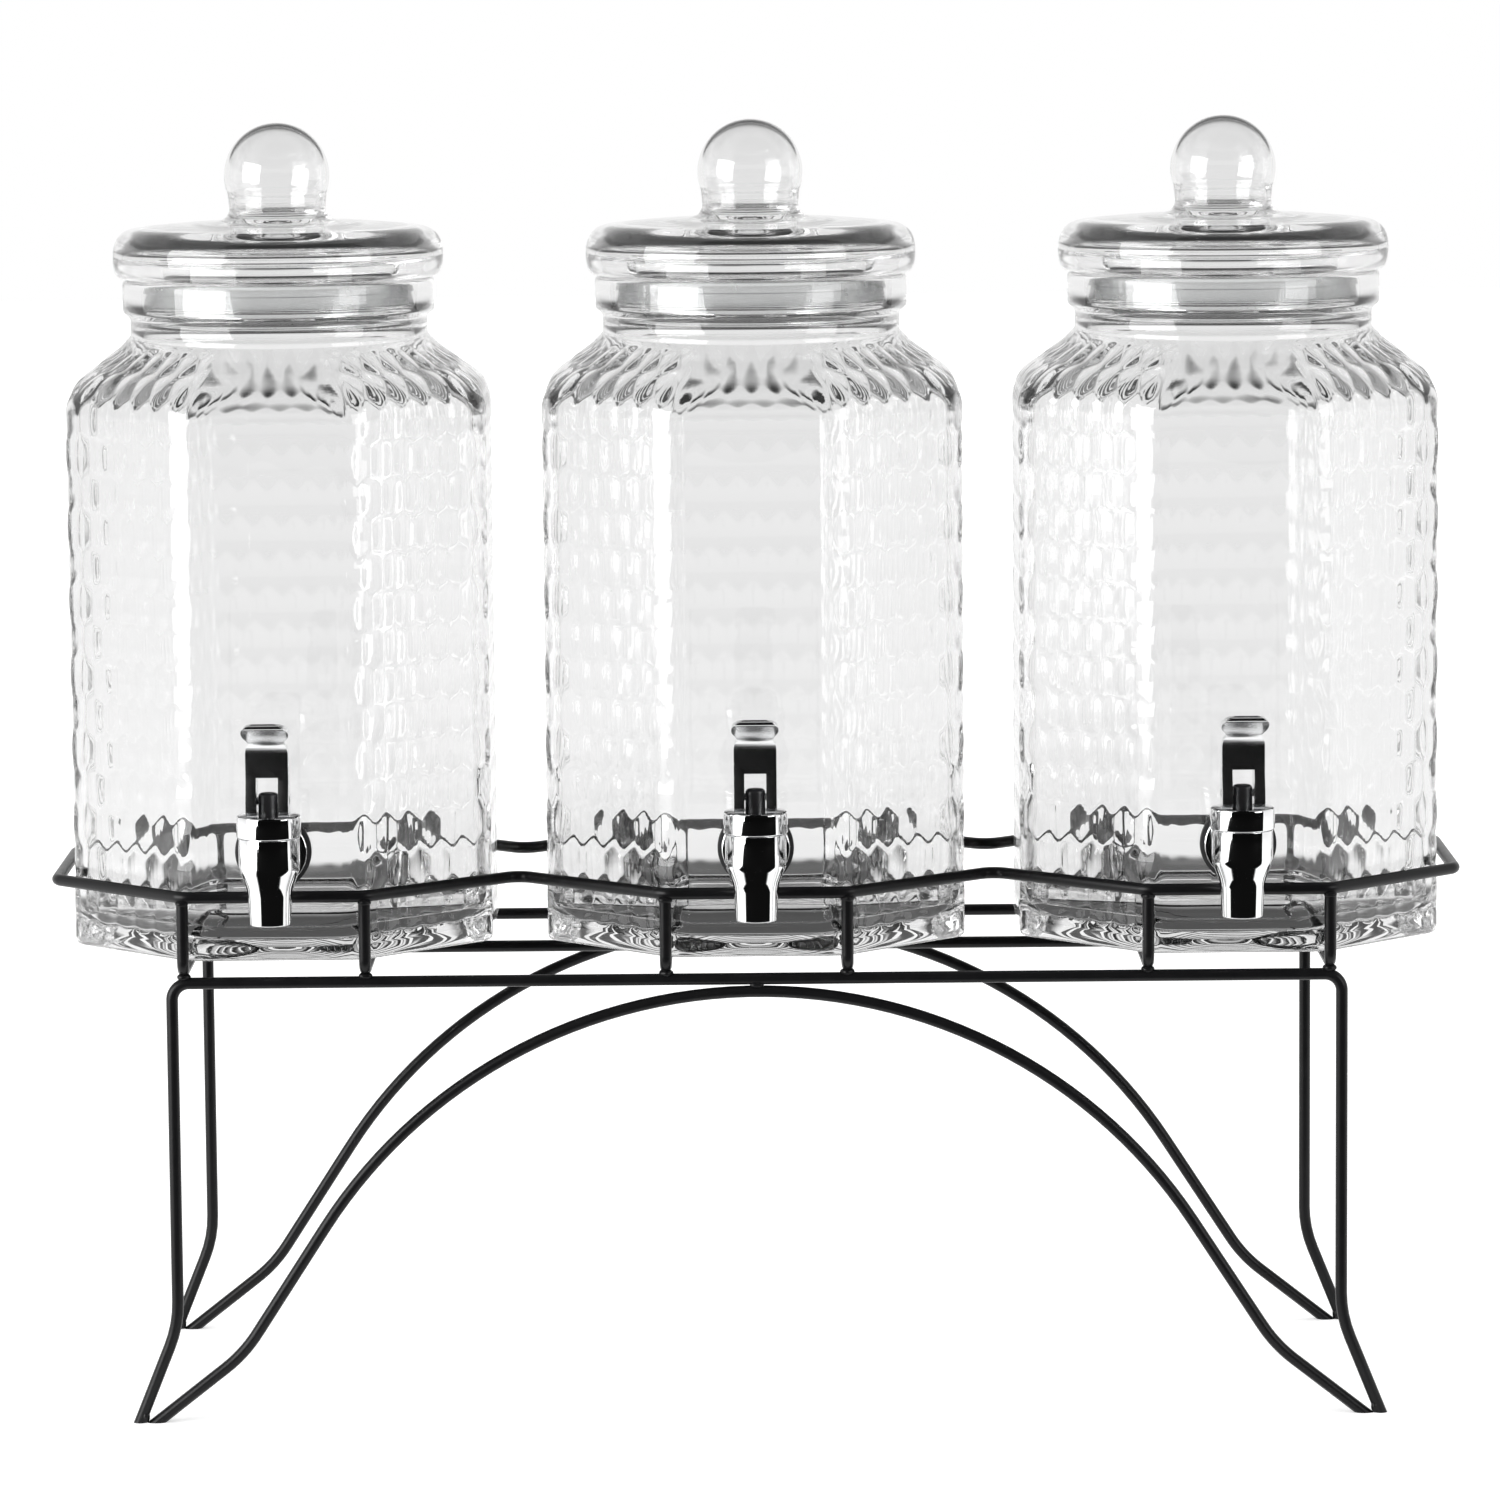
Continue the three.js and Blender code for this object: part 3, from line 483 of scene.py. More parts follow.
# %% [markdown]
# The relief is made of many small domes. Each dome is a parabola over an upright oval, and where two domes
# meet there is a soft groove, because hot glass never fills a sharp edge. The bottom row is taller, and the
# smooth pane and the neck count as domes of full height, which gives them the scalloped borders of the
# real jar.

# %% Relief of upright ovals
relief_depth = 0.65 * mm
relief_overlap_share = 0.06
relief_facets = facet_count - 1 + 2 * relief_overlap_share
oval_columns = 42
oval_width = 12.24 * mm
oval_height = 15.6 * mm
relief_start = 8 * mm
relief_end = 262 * mm
first_row_height = 20 * mm
border_fall = 3.2 * mm
oval_half_width = oval_width / 2
oval_half_height = oval_height / 2 / math.cos(math.radians(30))
groove_floor = -0.3
groove_sharpness = 6
dome_end = 1.4
oval_rows = [(relief_start + first_row_height / 2, first_row_height / oval_height)]
row_height = relief_start + first_row_height + oval_height / 2
while row_height < relief_end:
    oval_rows.append((row_height, 1))
    row_height += oval_height


def relief(column, height):
    """1 on a dome's crown, and least in the deepest grooves."""
    if column <= 0 or column >= oval_columns or height <= relief_start or height >= relief_end:
        return 1
    border = min(column, oval_columns - column) * oval_width
    end = min(height - relief_start, relief_end - height)
    levels = [groove_floor]
    levels += [1 - (gap / border_fall) ** 2 for gap in (border, end) if gap < 2 * border_fall]
    for index, (centre, stretch) in enumerate(oval_rows):
        rise = (height - centre) / (oval_half_height * stretch)
        if abs(rise) > dome_end:
            continue
        shift = 0.5 if index % 2 == 0 else 0
        nearest = math.floor(column - shift + 0.5) + shift
        nearest = min(max(nearest, shift), oval_columns - shift)
        for middle in (nearest - 1, nearest, nearest + 1):
            run = (column - middle) * oval_width / oval_half_width
            levels.append(1 - run ** 2 - rise ** 2)
    total = sum(math.exp(groove_sharpness * level) for level in levels)
    return min(1, math.log(total) / groove_sharpness)


# %% [markdown]
# The outer profile runs from the hollow under the base, round its edge, up the wall, over the shoulder's
# S-shaped curve and the neck to the rim. The inner one goes back down to the thick floor. Each point also
# has a roundness, 0 for the octagon and 1 for the circle, so one list describes the change of form.

# %% Jar profiles
base_edge = 4 * mm
base_inset = 1.5 * mm
rim_bevel = 4.3 * mm
standing_ring = 24 * mm
punt_rise = 6 * mm
punt_edge = 1 * mm
wall = 4.5 * mm
shoulder_start = 224.5 * mm
shoulder_steps = 48
low_pull_share = 0.53
side_pull_share = 0.36
high_pull_share = 0.39
neck_start = 255.5 * mm
neck_reach = 62.9 * mm
rim_reach = 66 * mm
mouth_reach = 57.5 * mm
rim_bottom = 265.5 * mm
rim_flare = 3 * mm
rim_edge = 2 * mm
floor_height = 7 * mm
floor_crown = 1 * mm
cove = 15 * mm
relief_step = 1.55 * mm


def smoothstep(share):
    share = min(max(share, 0), 1)
    return share * share * (3 - 2 * share)


def shoulder(wall_reach, wall_top, top_reach, top):
    """The shoulder's curve, with its roundness growing on the way up."""
    rise = top - wall_top
    run = wall_reach - top_reach
    curve = bezier([
        (wall_reach, wall_top),
        (wall_reach, wall_top + rise * low_pull_share),
        (top_reach + run * side_pull_share, top - rise * high_pull_share),
        (top_reach, top),
    ], shoulder_steps)
    return [(p.x, p.y, smoothstep((p.y - wall_top) / rise)) for p in curve]


def with_roundness(points, roundness):
    return [(point.x, point.y, roundness) for point in points]


def dome(reach, at_centre, at_reach, steps=6):
    """A shallow dome's (reach, height) points, from near the middle outwards."""
    shares = [(count + 1) / (steps + 1) for count in range(steps + 1)]
    return [Vector((reach * share, at_centre + (at_reach - at_centre) * share ** 2)) for share in shares]


ring_reach = jar_reach - base_inset
punt_reach = ring_reach - standing_ring
under = with_roundness(dome(punt_reach, punt_rise, punt_edge)[:-1] + rounded([
    (punt_reach, punt_edge, 0),
    (punt_reach + standing_ring / 2, 0, standing_ring / 2),
    (ring_reach, 0, 0),
]), 0)
edge = with_roundness(bezier([
    (ring_reach, 0), (jar_reach - base_inset / 3, 0), (jar_reach, base_edge / 2), (jar_reach, base_edge),
], steps=9), 0)
body = [(jar_reach, base_edge, 0)] + shoulder(jar_reach, shoulder_start, neck_reach, neck_start)
collar = with_roundness(rounded([
    (neck_reach, neck_start, 0),
    (neck_reach, rim_bottom - rim_flare, rim_flare),
    (rim_reach, rim_bottom, rim_edge),
    (rim_reach, jar_height, rim_edge),
    (rim_reach - rim_bevel, jar_height, 0),
]), 1)
inner_reach = jar_reach - wall
inside = (
    with_roundness(rounded([
        (mouth_reach + rim_edge, jar_height, 0),
        (mouth_reach, jar_height, rim_edge),
        (mouth_reach, jar_height - 2 * rim_edge, 0),
    ]), 1)
    + shoulder(inner_reach, shoulder_start - wall / 2, mouth_reach, neck_start - wall)[::-1]
    + with_roundness(rounded([
        (inner_reach, shoulder_start / 2, 0),
        (inner_reach, floor_height, cove),
        (inner_reach - 2 * cove, floor_height, 0),
    ]), 0)
    + with_roundness(dome(inner_reach - 2 * cove, floor_height + floor_crown, floor_height)[::-1][1:], 0)
)
body_rows = resampled(body, relief_step)
print("jar rows", len(under) + len(edge) + len(body_rows) + len(collar), "inside", len(inside))

# %% Wrap the jar
fine_steps = 378
pane_steps = 22
inner_steps = 144
relief_left = 0.5 - relief_overlap_share
fine_share = relief_facets / fine_steps
pane_share = (facet_count - relief_facets) / pane_steps
outer_stations = [relief_left + k * fine_share for k in range(fine_steps)]
outer_stations += [relief_left + relief_facets + k * pane_share for k in range(pane_steps + 1)]
inner_stations = [0.5 + k * facet_count / inner_steps for k in range(inner_steps + 1)]


def wrapped_grid(name, rows, stations):
    """A grid with one row of points for each ring, moved onto the rings."""
    clear_selection()
    bpy.ops.mesh.primitive_grid_add(
        x_subdivisions=len(stations) - 1, y_subdivisions=len(rows) - 1, size=1,
    )
    grid = bpy.context.object
    grid.name = name
    across, up = len(stations) - 1, len(rows) - 1
    for vertex in grid.data.vertices:
        i = round((vertex.co.x + 0.5) * across)
        j = round((vertex.co.y + 0.5) * up)
        vertex.co = rows[j](stations[i])
    return grid


def ring(reach, height, roundness, slope=None, mark=0):
    """A level ring. Where it has a slope, the relief sets its points in, square to the surface."""
    def point(station):
        x, y, normal = ring_place(reach, roundness, station)
        if slope is None:
            return x, y, height
        column = (station - relief_left) / relief_facets * oval_columns
        inset = relief_depth * (1 - relief(column, base_edge + mark))
        level = inset * slope.y
        return x - normal[0] * level, y - normal[1] * level, height + inset * slope.x
    return point


rings = [ring(*place) for place in under + edge[1:-1]]
for index, (place, mark) in enumerate(body_rows):
    before = body_rows[max(index - 1, 0)][0]
    after = body_rows[min(index + 1, len(body_rows) - 1)][0]
    rings.append(ring(*place, slope=(after - before).xy.normalized(), mark=mark))
rings += [ring(*place) for place in collar[1:]]
jar = wrapped_grid("jar", rings, outer_stations)
lining = wrapped_grid("lining", [ring(*place) for place in inside], inner_stations)

# %% [markdown]
# The two skins are joined, the seams merged, the rim bridged, and the floor and the underside closed. A
# hole for the spigot's shank is then cut through the front pane. It comes last, because the rows of the
# grid couldn't run round it.

# %% Close the jar and cut its hole
jar = joined([jar, lining], "jar")
start_edit()
bpy.ops.mesh.remove_doubles(threshold=merge_gap)
bpy.ops.mesh.select_mode(type="EDGE")
for height in (jar_height, under[0][1], inside[-1][1]):
    bpy.ops.mesh.select_all(action="DESELECT")
    mesh = bmesh.from_edit_mesh(jar.data)
    found = 0
    for line in mesh.edges:
        middle = (line.verts[0].co + line.verts[1].co) / 2
        if line.is_boundary and abs(middle.z - height) < 10 * merge_gap:
            line.select_set(True)
            found += 1
    bmesh.update_edit_mesh(jar.data)
    print("open edges at", round(height / mm, 1), found)
    if height == jar_height:
        bpy.ops.mesh.bridge_edge_loops()
    else:
        bpy.ops.mesh.edge_face_add()
end_edit()

hole_radius = 8.45 * mm
clear_selection()
bpy.ops.mesh.primitive_cylinder_add(
    vertices=48, radius=hole_radius, depth=4 * wall,
    location=(0, -jar_reach + wall / 2, shank_height), rotation=(math.pi / 2, 0, 0),
)
cut(jar, bpy.context.object)
smooth(jar, 50)
place_in_bays(jar, "jar", "dispenser", Vector((0, row_y, jar_base)), jar_glass)

# %% [markdown]
# ## Lid with ball knob
# The lid is blown glass: a plug that sits in the mouth, a fat rolled edge that rests on the rim, a shallow
# top and a ball knob. Its wall is thin and its hollow goes up into the ball, so the ball looks like a
# bubble and the roll shows a dark band. One outline makes both skins: it starts inside the top of the
# ball, goes down the hollow, round the plug and the roll, and up again outside.

# %% Lid sizes
lid_reach = 69.8 * mm
lid_gap = 0.3 * mm
roll_height = 9.5 * mm
plug_reach = 54.5 * mm
plug_bore = 49 * mm
plug_lip = 56 * mm
plug_depth = 12 * mm
lip_height = 1.4 * mm
shoulder_reach = 58 * mm
shoulder_level = 21.6 * mm
top_level = 23.8 * mm
flare_reach = 28 * mm
knob_neck = 20.3 * mm
knob_neck_height = 30 * mm
knob_radius = 22.25 * mm
knob_centre = 43.2 * mm
lid_wall = 4.5 * mm
knob_wall = 1.5 * mm
throat = 18.5 * mm
throat_rise = 2 * mm
throat_bend = 5 * mm
sill_wall = 9 * mm
sill_bend = 2 * mm
plug_bend = 0.5 * mm
lip_bend = 1 * mm
roll_bottom = lid_reach - roll_height / 2
knob_angle = math.acos(knob_neck / knob_radius)
hollow_reach = lid_reach - lid_wall
ceiling = shoulder_level - lid_wall
sill = lid_gap + sill_wall
ball_reach = knob_radius - knob_wall
throat_angle = math.acos(throat / ball_reach)
knob_steps = 28

# %% Lid


def ball(radius, start, end):
    """An arc of the ball knob between two angles."""
    arc = []
    for count in range(knob_steps + 1):
        angle = start + (end - start) * count / knob_steps
        arc.append(Vector((max(0, radius * math.cos(angle)), knob_centre + radius * math.sin(angle))))
    return arc


lid_outline = ball(ball_reach, math.pi / 2, -throat_angle)
lid_outline += rounded([
    (throat, lid_outline[-1].y, 0),
    (throat, ceiling + throat_rise, throat_bend),
    (shoulder_reach - lid_wall, ceiling, 0),
])[1:]
lid_outline = carried_on(
    lid_outline,
    (16, (hollow_reach, ceiling), (hollow_reach, roll_height)),
    (10, (hollow_reach, sill), (plug_lip, sill)),
)
lid_outline += rounded([
    (plug_lip, sill, 0),
    (plug_bore, sill, sill_bend),
    (plug_bore, -plug_depth, lip_bend),
    (plug_lip, -plug_depth, lip_height / 3),
    (plug_lip, lip_height - plug_depth, lip_height / 3),
    (plug_reach, lip_height - plug_depth, 0),
    (plug_reach, lid_gap, plug_bend),
    (roll_bottom, lid_gap, 0),
])[1:]
lid_outline = carried_on(
    lid_outline,
    (12, (lid_reach, lid_gap), (lid_reach, roll_height)),
    (14, (lid_reach, shoulder_level), (shoulder_reach, shoulder_level)),
    (4, (flare_reach + roll_height, top_level), (flare_reach, top_level)),
    (12, (knob_neck, top_level + lid_gap), (knob_neck, knob_neck_height)),
)
lid_outline += ball(knob_radius, -knob_angle, math.pi / 2)[1:]
lid = turned("lid", [(place.x, place.y, 0) for place in lid_outline], steps=144, degrees=60)
rim_place = Vector((0, row_y, jar_base + jar_height))
place_in_bays(lid, "lid", "cover", rim_place, lid_glass)

# %% [markdown]
# ## Gasket
# A clear silicone ring round the plug closes the mouth with two barbed fins. Two corners of the outline
# make a fin, and the ring is turned as one piece, because fins added to a plain ring would leave seams.

# %% Gasket
gasket_inner = 54.8 * mm
gasket_outer = 57.2 * mm
gasket_web = 0.9 * mm
gasket_bottom = -10.3 * mm
gasket_fins = 2
fin_round = 0.25 * mm
fin_pitch = -gasket_bottom / gasket_fins
gasket_corners = [(gasket_inner, 0, fin_round), (gasket_inner, gasket_bottom, fin_round)]
for fin in range(gasket_fins):
    low = gasket_bottom + fin * fin_pitch
    gasket_corners.append((gasket_outer, low, fin_round))
    gasket_corners.append((gasket_inner + gasket_web, low + fin_pitch, fin_round))
gasket = turned("gasket", gasket_corners, steps=144)
place_in_bays(gasket, "lid_gasket", "cover", rim_place, clear_silicone)

# %% [markdown]
# ## Spigot
# The body is a belly that tapers into the nozzle, with a flange against the jar and a threaded shank
# behind. It is turned about two axes: the belly about the upright one, the flange and shank about the
# level one. The thread is drawn into the shank's outline as a row of small ridges.

# %% Spigot body
spigot_place = Vector((0, spigot_y, spigot_z))
nozzle_drop = 26.9 * mm
nozzle_reach = 8.65 * mm
nozzle_bore = 6.2 * mm
throat_drop = 12.5 * mm
throat_reach = 9.2 * mm
belly_drop = 4.2 * mm
body_reach = 12.6 * mm
body_rise = 9.2 * mm
chamber = 9.6 * mm
seat_drop = 14 * mm
seat_rise = 5 * mm
small_round = 0.5 * mm
throat_round = 12 * mm
belly_round = 8 * mm
belly = turned("belly", [
    (nozzle_bore, -nozzle_drop, small_round),
    (nozzle_reach, -nozzle_drop, small_round),
    (throat_reach, -throat_drop, throat_round),
    (body_reach, -belly_drop, belly_round),
    (body_reach, body_rise, small_round / 2),
    (chamber, body_rise, small_round / 2),
    (chamber, seat_rise - seat_drop, small_round),
    (nozzle_bore, -seat_drop, small_round),
])

shank_reach = 8 * mm
shank_bore = 4.6 * mm
shank_end = 45 * mm
flange_reach = 14.2 * mm
flange_back = 22.9 * mm
flange_thickness = 2.5 * mm
thread_pitch = 1.8 * mm
thread_depth = 0.7 * mm
shank_corners = [
    (shank_bore, chamber, 0),
    (shank_reach, chamber, 0),
    (shank_reach, flange_back - flange_thickness, small_round),
    (flange_reach, flange_back - flange_thickness, 3 * small_round / 2),
    (flange_reach, flange_back, small_round),
    (shank_reach, flange_back, 0),
]
along = flange_back + 2 * thread_pitch
while along < shank_end - thread_pitch:
    shank_corners.append((shank_reach, along, thread_depth / 4))
    shank_corners.append((shank_reach - thread_depth, along + thread_pitch / 2, thread_depth / 4))
    along += thread_pitch
shank_corners.append((shank_reach - thread_depth, shank_end, small_round))
shank_corners.append((shank_bore, shank_end, small_round / 2))
shank = turned("shank", shank_corners, axis="Y", steps=72)
spigot_body = joined([belly, shank], "spigot_body")
place_in_bays(spigot_body, "spigot_body", "dispenser", spigot_place, chrome)

# %% [markdown]
# The cap screws onto the body and guides the valve stem. The outer washer is wider than the flange, so a
# dark ring shows round it. All of these are turned. The nut is a cylinder with six sides, and only what
# lies inside a turned shape is kept of it, which takes off its corners as on a real nut.

# %% Cap, washers and nut
cap_gap = 0.3 * mm
cap_reach = 13.3 * mm
cap_height = 9.1 * mm
cap_bottom = body_rise + cap_gap
cap_top = cap_bottom + cap_height
stem_hole = 4.4 * mm
cap_bore = 7.3 * mm
cap_roof = 3.4 * mm
cap_plug = 4.2 * mm
cap = turned("cap", [
    (stem_hole, cap_top - cap_roof, 0),
    (cap_bore, cap_top - cap_roof, small_round),
    (cap_bore, cap_bottom - cap_plug, 0),
    (chamber - cap_gap, cap_bottom - cap_plug, 0),
    (chamber - cap_gap, cap_bottom, 0),
    (cap_reach, cap_bottom, small_round),
    (cap_reach, cap_top, 2 * small_round),
    (stem_hole, cap_top, small_round / 2),
])
place_in_bays(cap, "spigot_cap", "dispenser", spigot_place, chrome)

hole_reach = shank_reach + cap_gap
washer_specs = {
    "outer_washer": (23.2 * mm, 26.2 * mm, 15.85 * mm),
    "inner_washer": (31.3 * mm, 33.8 * mm, 13.5 * mm),
}
for part, (start, end, reach) in washer_specs.items():
    washer = turned(part, [
        (hole_reach, start, small_round / 2), (reach, start, small_round),
        (reach, end, small_round), (hole_reach, end, small_round / 2),
    ], axis="Y", steps=72)
    place_in_bays(washer, part, "dispenser", spigot_place, black_rubber)

nut_start = 34.1 * mm
nut_thickness = 7 * mm
nut_reach = 12.5 * mm
nut_corner = nut_reach / math.cos(math.pi / 6)
clear_selection()
bpy.ops.mesh.primitive_cylinder_add(
    vertices=6, radius=nut_corner, depth=nut_thickness,
    location=(0, nut_start + nut_thickness / 2, 0), rotation=(math.pi / 2, 0, 0),
)
nut = bpy.context.object
bpy.ops.object.transform_apply()
soften(nut, small_round, segments=3, degrees=30)
chamfer = turned("chamfer", [
    (0, nut_start - small_round, 0),
    (nut_reach, nut_start - small_round, 0),
    (nut_corner + small_round, nut_start + 2 * small_round, 0),
    (nut_corner + small_round, nut_start + nut_thickness - 2 * small_round, 0),
    (nut_reach, nut_start + nut_thickness + small_round, 0),
    (0, nut_start + nut_thickness + small_round, 0),
], axis="Y", steps=48)
cut(nut, chamfer, "INTERSECT")
hole_start = nut_start - nut_thickness
hole_end = nut_start + 2 * nut_thickness
cut(nut, rod("nut_hole", hole_reach, hole_start, hole_end, axis="Y", steps=48))
smooth(nut, 30)
place_in_bays(nut, "shank_nut", "dispenser", spigot_place, black_plastic)

# %% [markdown]
# ## Lever
# The lever is a forked block under a curved paddle. Its cheeks hold the pin, and their rounded feet are
# cams on the cap. It is curved from the side and from the front, so each view gives an outline. Both are
# extruded, their intersection is the lever, and the fork's slot and the pin's hole are cut from it.

# %% Lever outlines
pin_height = 24.4 * mm
pin_headroom = 5.5 * mm
lever_back = 5 * mm
lever_reach = 29 * mm
lever_height = 35 * mm
lever_width = 17.5 * mm
tip_width = 19.3 * mm
waist = 14.6 * mm
fork_width = 9 * mm
window = 10.3 * mm
window_margin = 1.5 * mm
block_front = 6.5 * mm
block_back = 2 * mm
paddle = 3 * mm
tip_arch = 5.5 * mm
tip_drop = 0.2 * mm
arch_spare = 0.3 * mm
opening = math.radians(40)
valve_lift = 3.5 * mm
lift_rate = valve_lift / opening
over = 6 * mm
tip_rise = lever_height - paddle
tip_top = lever_height - tip_drop
tip_corner = lever_height - tip_arch
arch_top = lever_height + arch_spare
shoulder_height = (window + lever_height) / 2
waist_height = shoulder_height + paddle / 2
cam = []
cam_steps = 14
for count in range(cam_steps + 1):
    angle = opening * count / cam_steps
    height = pin_headroom + lift_rate * angle
    cam.append(Vector((
        height * math.sin(angle) + lift_rate * math.cos(angle),
        -height * math.cos(angle) + lift_rate * math.sin(angle),
    )))
side_outline = carried_on(
    [
        Vector((-lever_back, -pin_headroom)), *cam, Vector((cam[-1].x, 0)),
        Vector((block_front, window - window_margin)), Vector((block_front, shoulder_height - paddle)),
    ],
    (16, (block_front + paddle, tip_rise - paddle), (lever_reach - paddle, tip_rise)),
    (6, (lever_reach, tip_rise + paddle / 4), (lever_reach - paddle / 4, lever_height - paddle / 4),
     (lever_reach - paddle, tip_top)),
    (16, (block_front, lever_height - paddle / 2), (-block_back, window + block_front)),
)
side_outline.append(Vector((-lever_back, window / 2)))
half_front = carried_on(
    [Vector((lever_width / 2, -pin_headroom - over)), Vector((lever_width / 2, shoulder_height - paddle))],
    (8, (lever_width / 2, shoulder_height), (waist / 2, waist_height)),
    (10, (waist / 2, tip_corner - paddle), (tip_width / 2, tip_corner - paddle),
     (tip_width / 2, tip_corner)),
    (12, (tip_width / 2, lever_height - paddle / 2), (tip_width / 4, arch_top), (0, arch_top)),
)
front_outline = half_front + [Vector((-p.x, p.y)) for p in reversed(half_front[:-1])]

# %% Lever body


def slab(name, places, shift):
    """A face through the places, extruded by the shift."""
    face = draw_outline(name, places, closed=True)
    start_edit()
    bpy.ops.mesh.edge_face_add()
    bpy.ops.mesh.extrude_region_move(TRANSFORM_OT_translate={"value": shift})
    end_edit()
    return face


def pin_hole(half_length):
    """A cutting tool for the pin's hole."""
    return rod("pin_hole", pin_reach + cap_gap, -half_length, half_length, axis="X", steps=32)


pin_reach = 1.5 * mm
lever_round = 0.9 * mm
slab_width = tip_width + over
lever = slab("lever", [(-slab_width / 2, -p.x, p.y) for p in side_outline], (slab_width, 0, 0))
front_slab = slab(
    "front_slab", [(p.x, lever_back + over, p.y) for p in front_outline],
    (0, -lever_reach - lever_back - 2 * over, 0),
)
cut(lever, front_slab, "INTERSECT")
clear_selection()
fork_depth = window + pin_headroom + over
bpy.ops.mesh.primitive_cube_add(size=1, location=(0, -lever_reach / 2 + over, window - fork_depth / 2))
fork = bpy.context.object
fork.scale = (fork_width, lever_reach + 3 * over, fork_depth)
bpy.ops.object.transform_apply()
cut(lever, fork)
cut(lever, pin_hole(slab_width))
soften(lever, lever_round, segments=4, degrees=35)
smooth(lever, 35)
pin_place = spigot_place + Vector((0, 0, pin_height))
place_in_bays(lever, "lever", "handle", pin_place, satin_chrome)

# %% [markdown]
# ## Pin and valve stem
# The pin goes through both cheeks and the stem's head. The stem's head shows in the fork's window, so it
# gets a domed top. Both are turned, and the pin's hole is cut across the stem, which no outline could
# give. The seal is inside the body, and its solid stays as it is, with a rubber finish.

# %% Pin and valve stem
pin_half = 8.6 * mm
pin_round = 0.4 * mm
pin = rod("pin", pin_reach, -pin_half, pin_half, pin_round, axis="X", steps=40)
place_in_bays(pin, "lever_pin", "valve", pin_place, steel)

stem_reach = 4.1 * mm
stem_top = 27.8 * mm
stem_round = 1.6 * mm
rod_reach = 2.5 * mm
collar_reach = 7 * mm
collar_low = -8.1 * mm
collar_high = -6.6 * mm
neck_rise = 2 * mm
button_reach = 4 * mm
button_low = -14.9 * mm
button_high = -13.7 * mm
stem = turned("stem", [
    (0, button_low, 0),
    (button_reach, button_low, small_round),
    (button_reach, button_high, small_round),
    (rod_reach, button_high, 0),
    (rod_reach, collar_low, 0),
    (collar_reach, collar_low, small_round),
    (collar_reach, collar_high, small_round),
    (rod_reach, collar_high, 0),
    (stem_reach, collar_high + neck_rise, small_round),
    (stem_reach, stem_top, stem_round),
    (0, stem_top, 0),
], steps=64)
stem_hole_tool = pin_hole(over)
stem_hole_tool.data.transform(Matrix.Translation((0, 0, pin_height)))
cut(stem, stem_hole_tool)
smooth(stem, 40)
place_in_bays(stem, "valve_stem", "valve", spigot_place, black_plastic)

for bay in bay_names:
    solid = frame["nodes"][f"{bay}_valve_seal"]
    solid.data.materials.clear()
    solid.data.materials.append(black_rubber)

# %% [markdown]
# ## Round bars
# The valve springs and the rack are both bent from round bar. A curve with a round section follows the
# bar's middle line and is then made a mesh, which keeps the bar's thickness through every bend. A bar
# that stands on the floor is cut level with it.

# %% Bar helper


def bar_along(name, places, radius, fineness, cyclic=False, cut_at_floor=False):
    """A round bar with closed ends along a line of places."""
    curve = bpy.data.curves.new(name, "CURVE")
    curve.dimensions = "3D"
    curve.bevel_depth = radius
    curve.bevel_resolution = fineness
    curve.use_fill_caps = True
    spline = curve.splines.new("POLY")
    spline.points.add(len(places) - 1)
    for point, place in zip(spline.points, places):
        point.co = (*place, 1)
    spline.use_cyclic_u = cyclic
    drawn = bpy.data.objects.new(name, curve)
    bpy.context.collection.objects.link(drawn)
    make_active(drawn)
    bpy.ops.object.convert(target="MESH")
    bar = bpy.context.object
    start_edit()
    if cut_at_floor:
        bpy.ops.mesh.bisect(plane_co=(0, 0, 0), plane_no=(0, 0, 1), clear_inner=True, use_fill=True)
    end_edit()
    smooth(bar, 50)
    return bar


# %% [markdown]
# ## Valve spring
# A coil of steel wire stands between the stem's collar and the roof of the cap. Its end turns lie flat, as
# on a bought spring. The screw tool would raise every turn alike, so the coil's line is worked out in
# code.

# %% Valve spring
spring_reach = 5.7 * mm
spring_wire = 0.5 * mm
spring_turns = 5
flat_turns = 0.75
turn_steps = 24
spring_low = collar_high + cap_gap + spring_wire
spring_high = cap_top - cap_roof - cap_gap - spring_wire
coil = []
for count in range(spring_turns * turn_steps + 1):
    turn = count / turn_steps
    share = min(max((turn - flat_turns) / (spring_turns - 2 * flat_turns), 0), 1)
    place = Vector((spring_reach, 0, spring_low + share * (spring_high - spring_low)))
    place.rotate(Matrix.Rotation(2 * math.pi * turn, 3, "Z"))
    coil.append(place)
spring = bar_along("spring", coil, spring_wire, fineness=2)
place_in_bays(spring, "valve_spring", "dispenser", spigot_place, steel)
for bay in bay_names:
    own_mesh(bpy.data.objects[f"{bay}_valve_spring_piece"])

# %% [markdown]
# ## Bent wire
# The rack's wires have an arc at each bend. Each wire is drawn as a flat outline and laid in its plane:
# along the row, across it, or level. The arcs come from rounding the outline's corners, as for the turned
# pieces, so each bend is one radius that can be changed.

# %% Wire helpers
wire_radius = 2.5 * mm
seat_gap = 0.3 * mm
rail_height = 185.6 * mm
gallery_height = 222 * mm
gallery_y = 98.2 * mm
valley_y = 41.9 * mm
end_reach = 94.8 * mm
cradle_half = 37.7 * mm
frame_y = 94.7 * mm
cross_height = 190.9 * mm
leg_half = 242.8 * mm
foot_half = 259.5 * mm
under_floor = 6 * mm
leg_splay = math.radians(22)
wire_step = math.radians(6)
pitch = bay_x["right"] - bay_x["centre"]
last_bay = bay_x["right"]


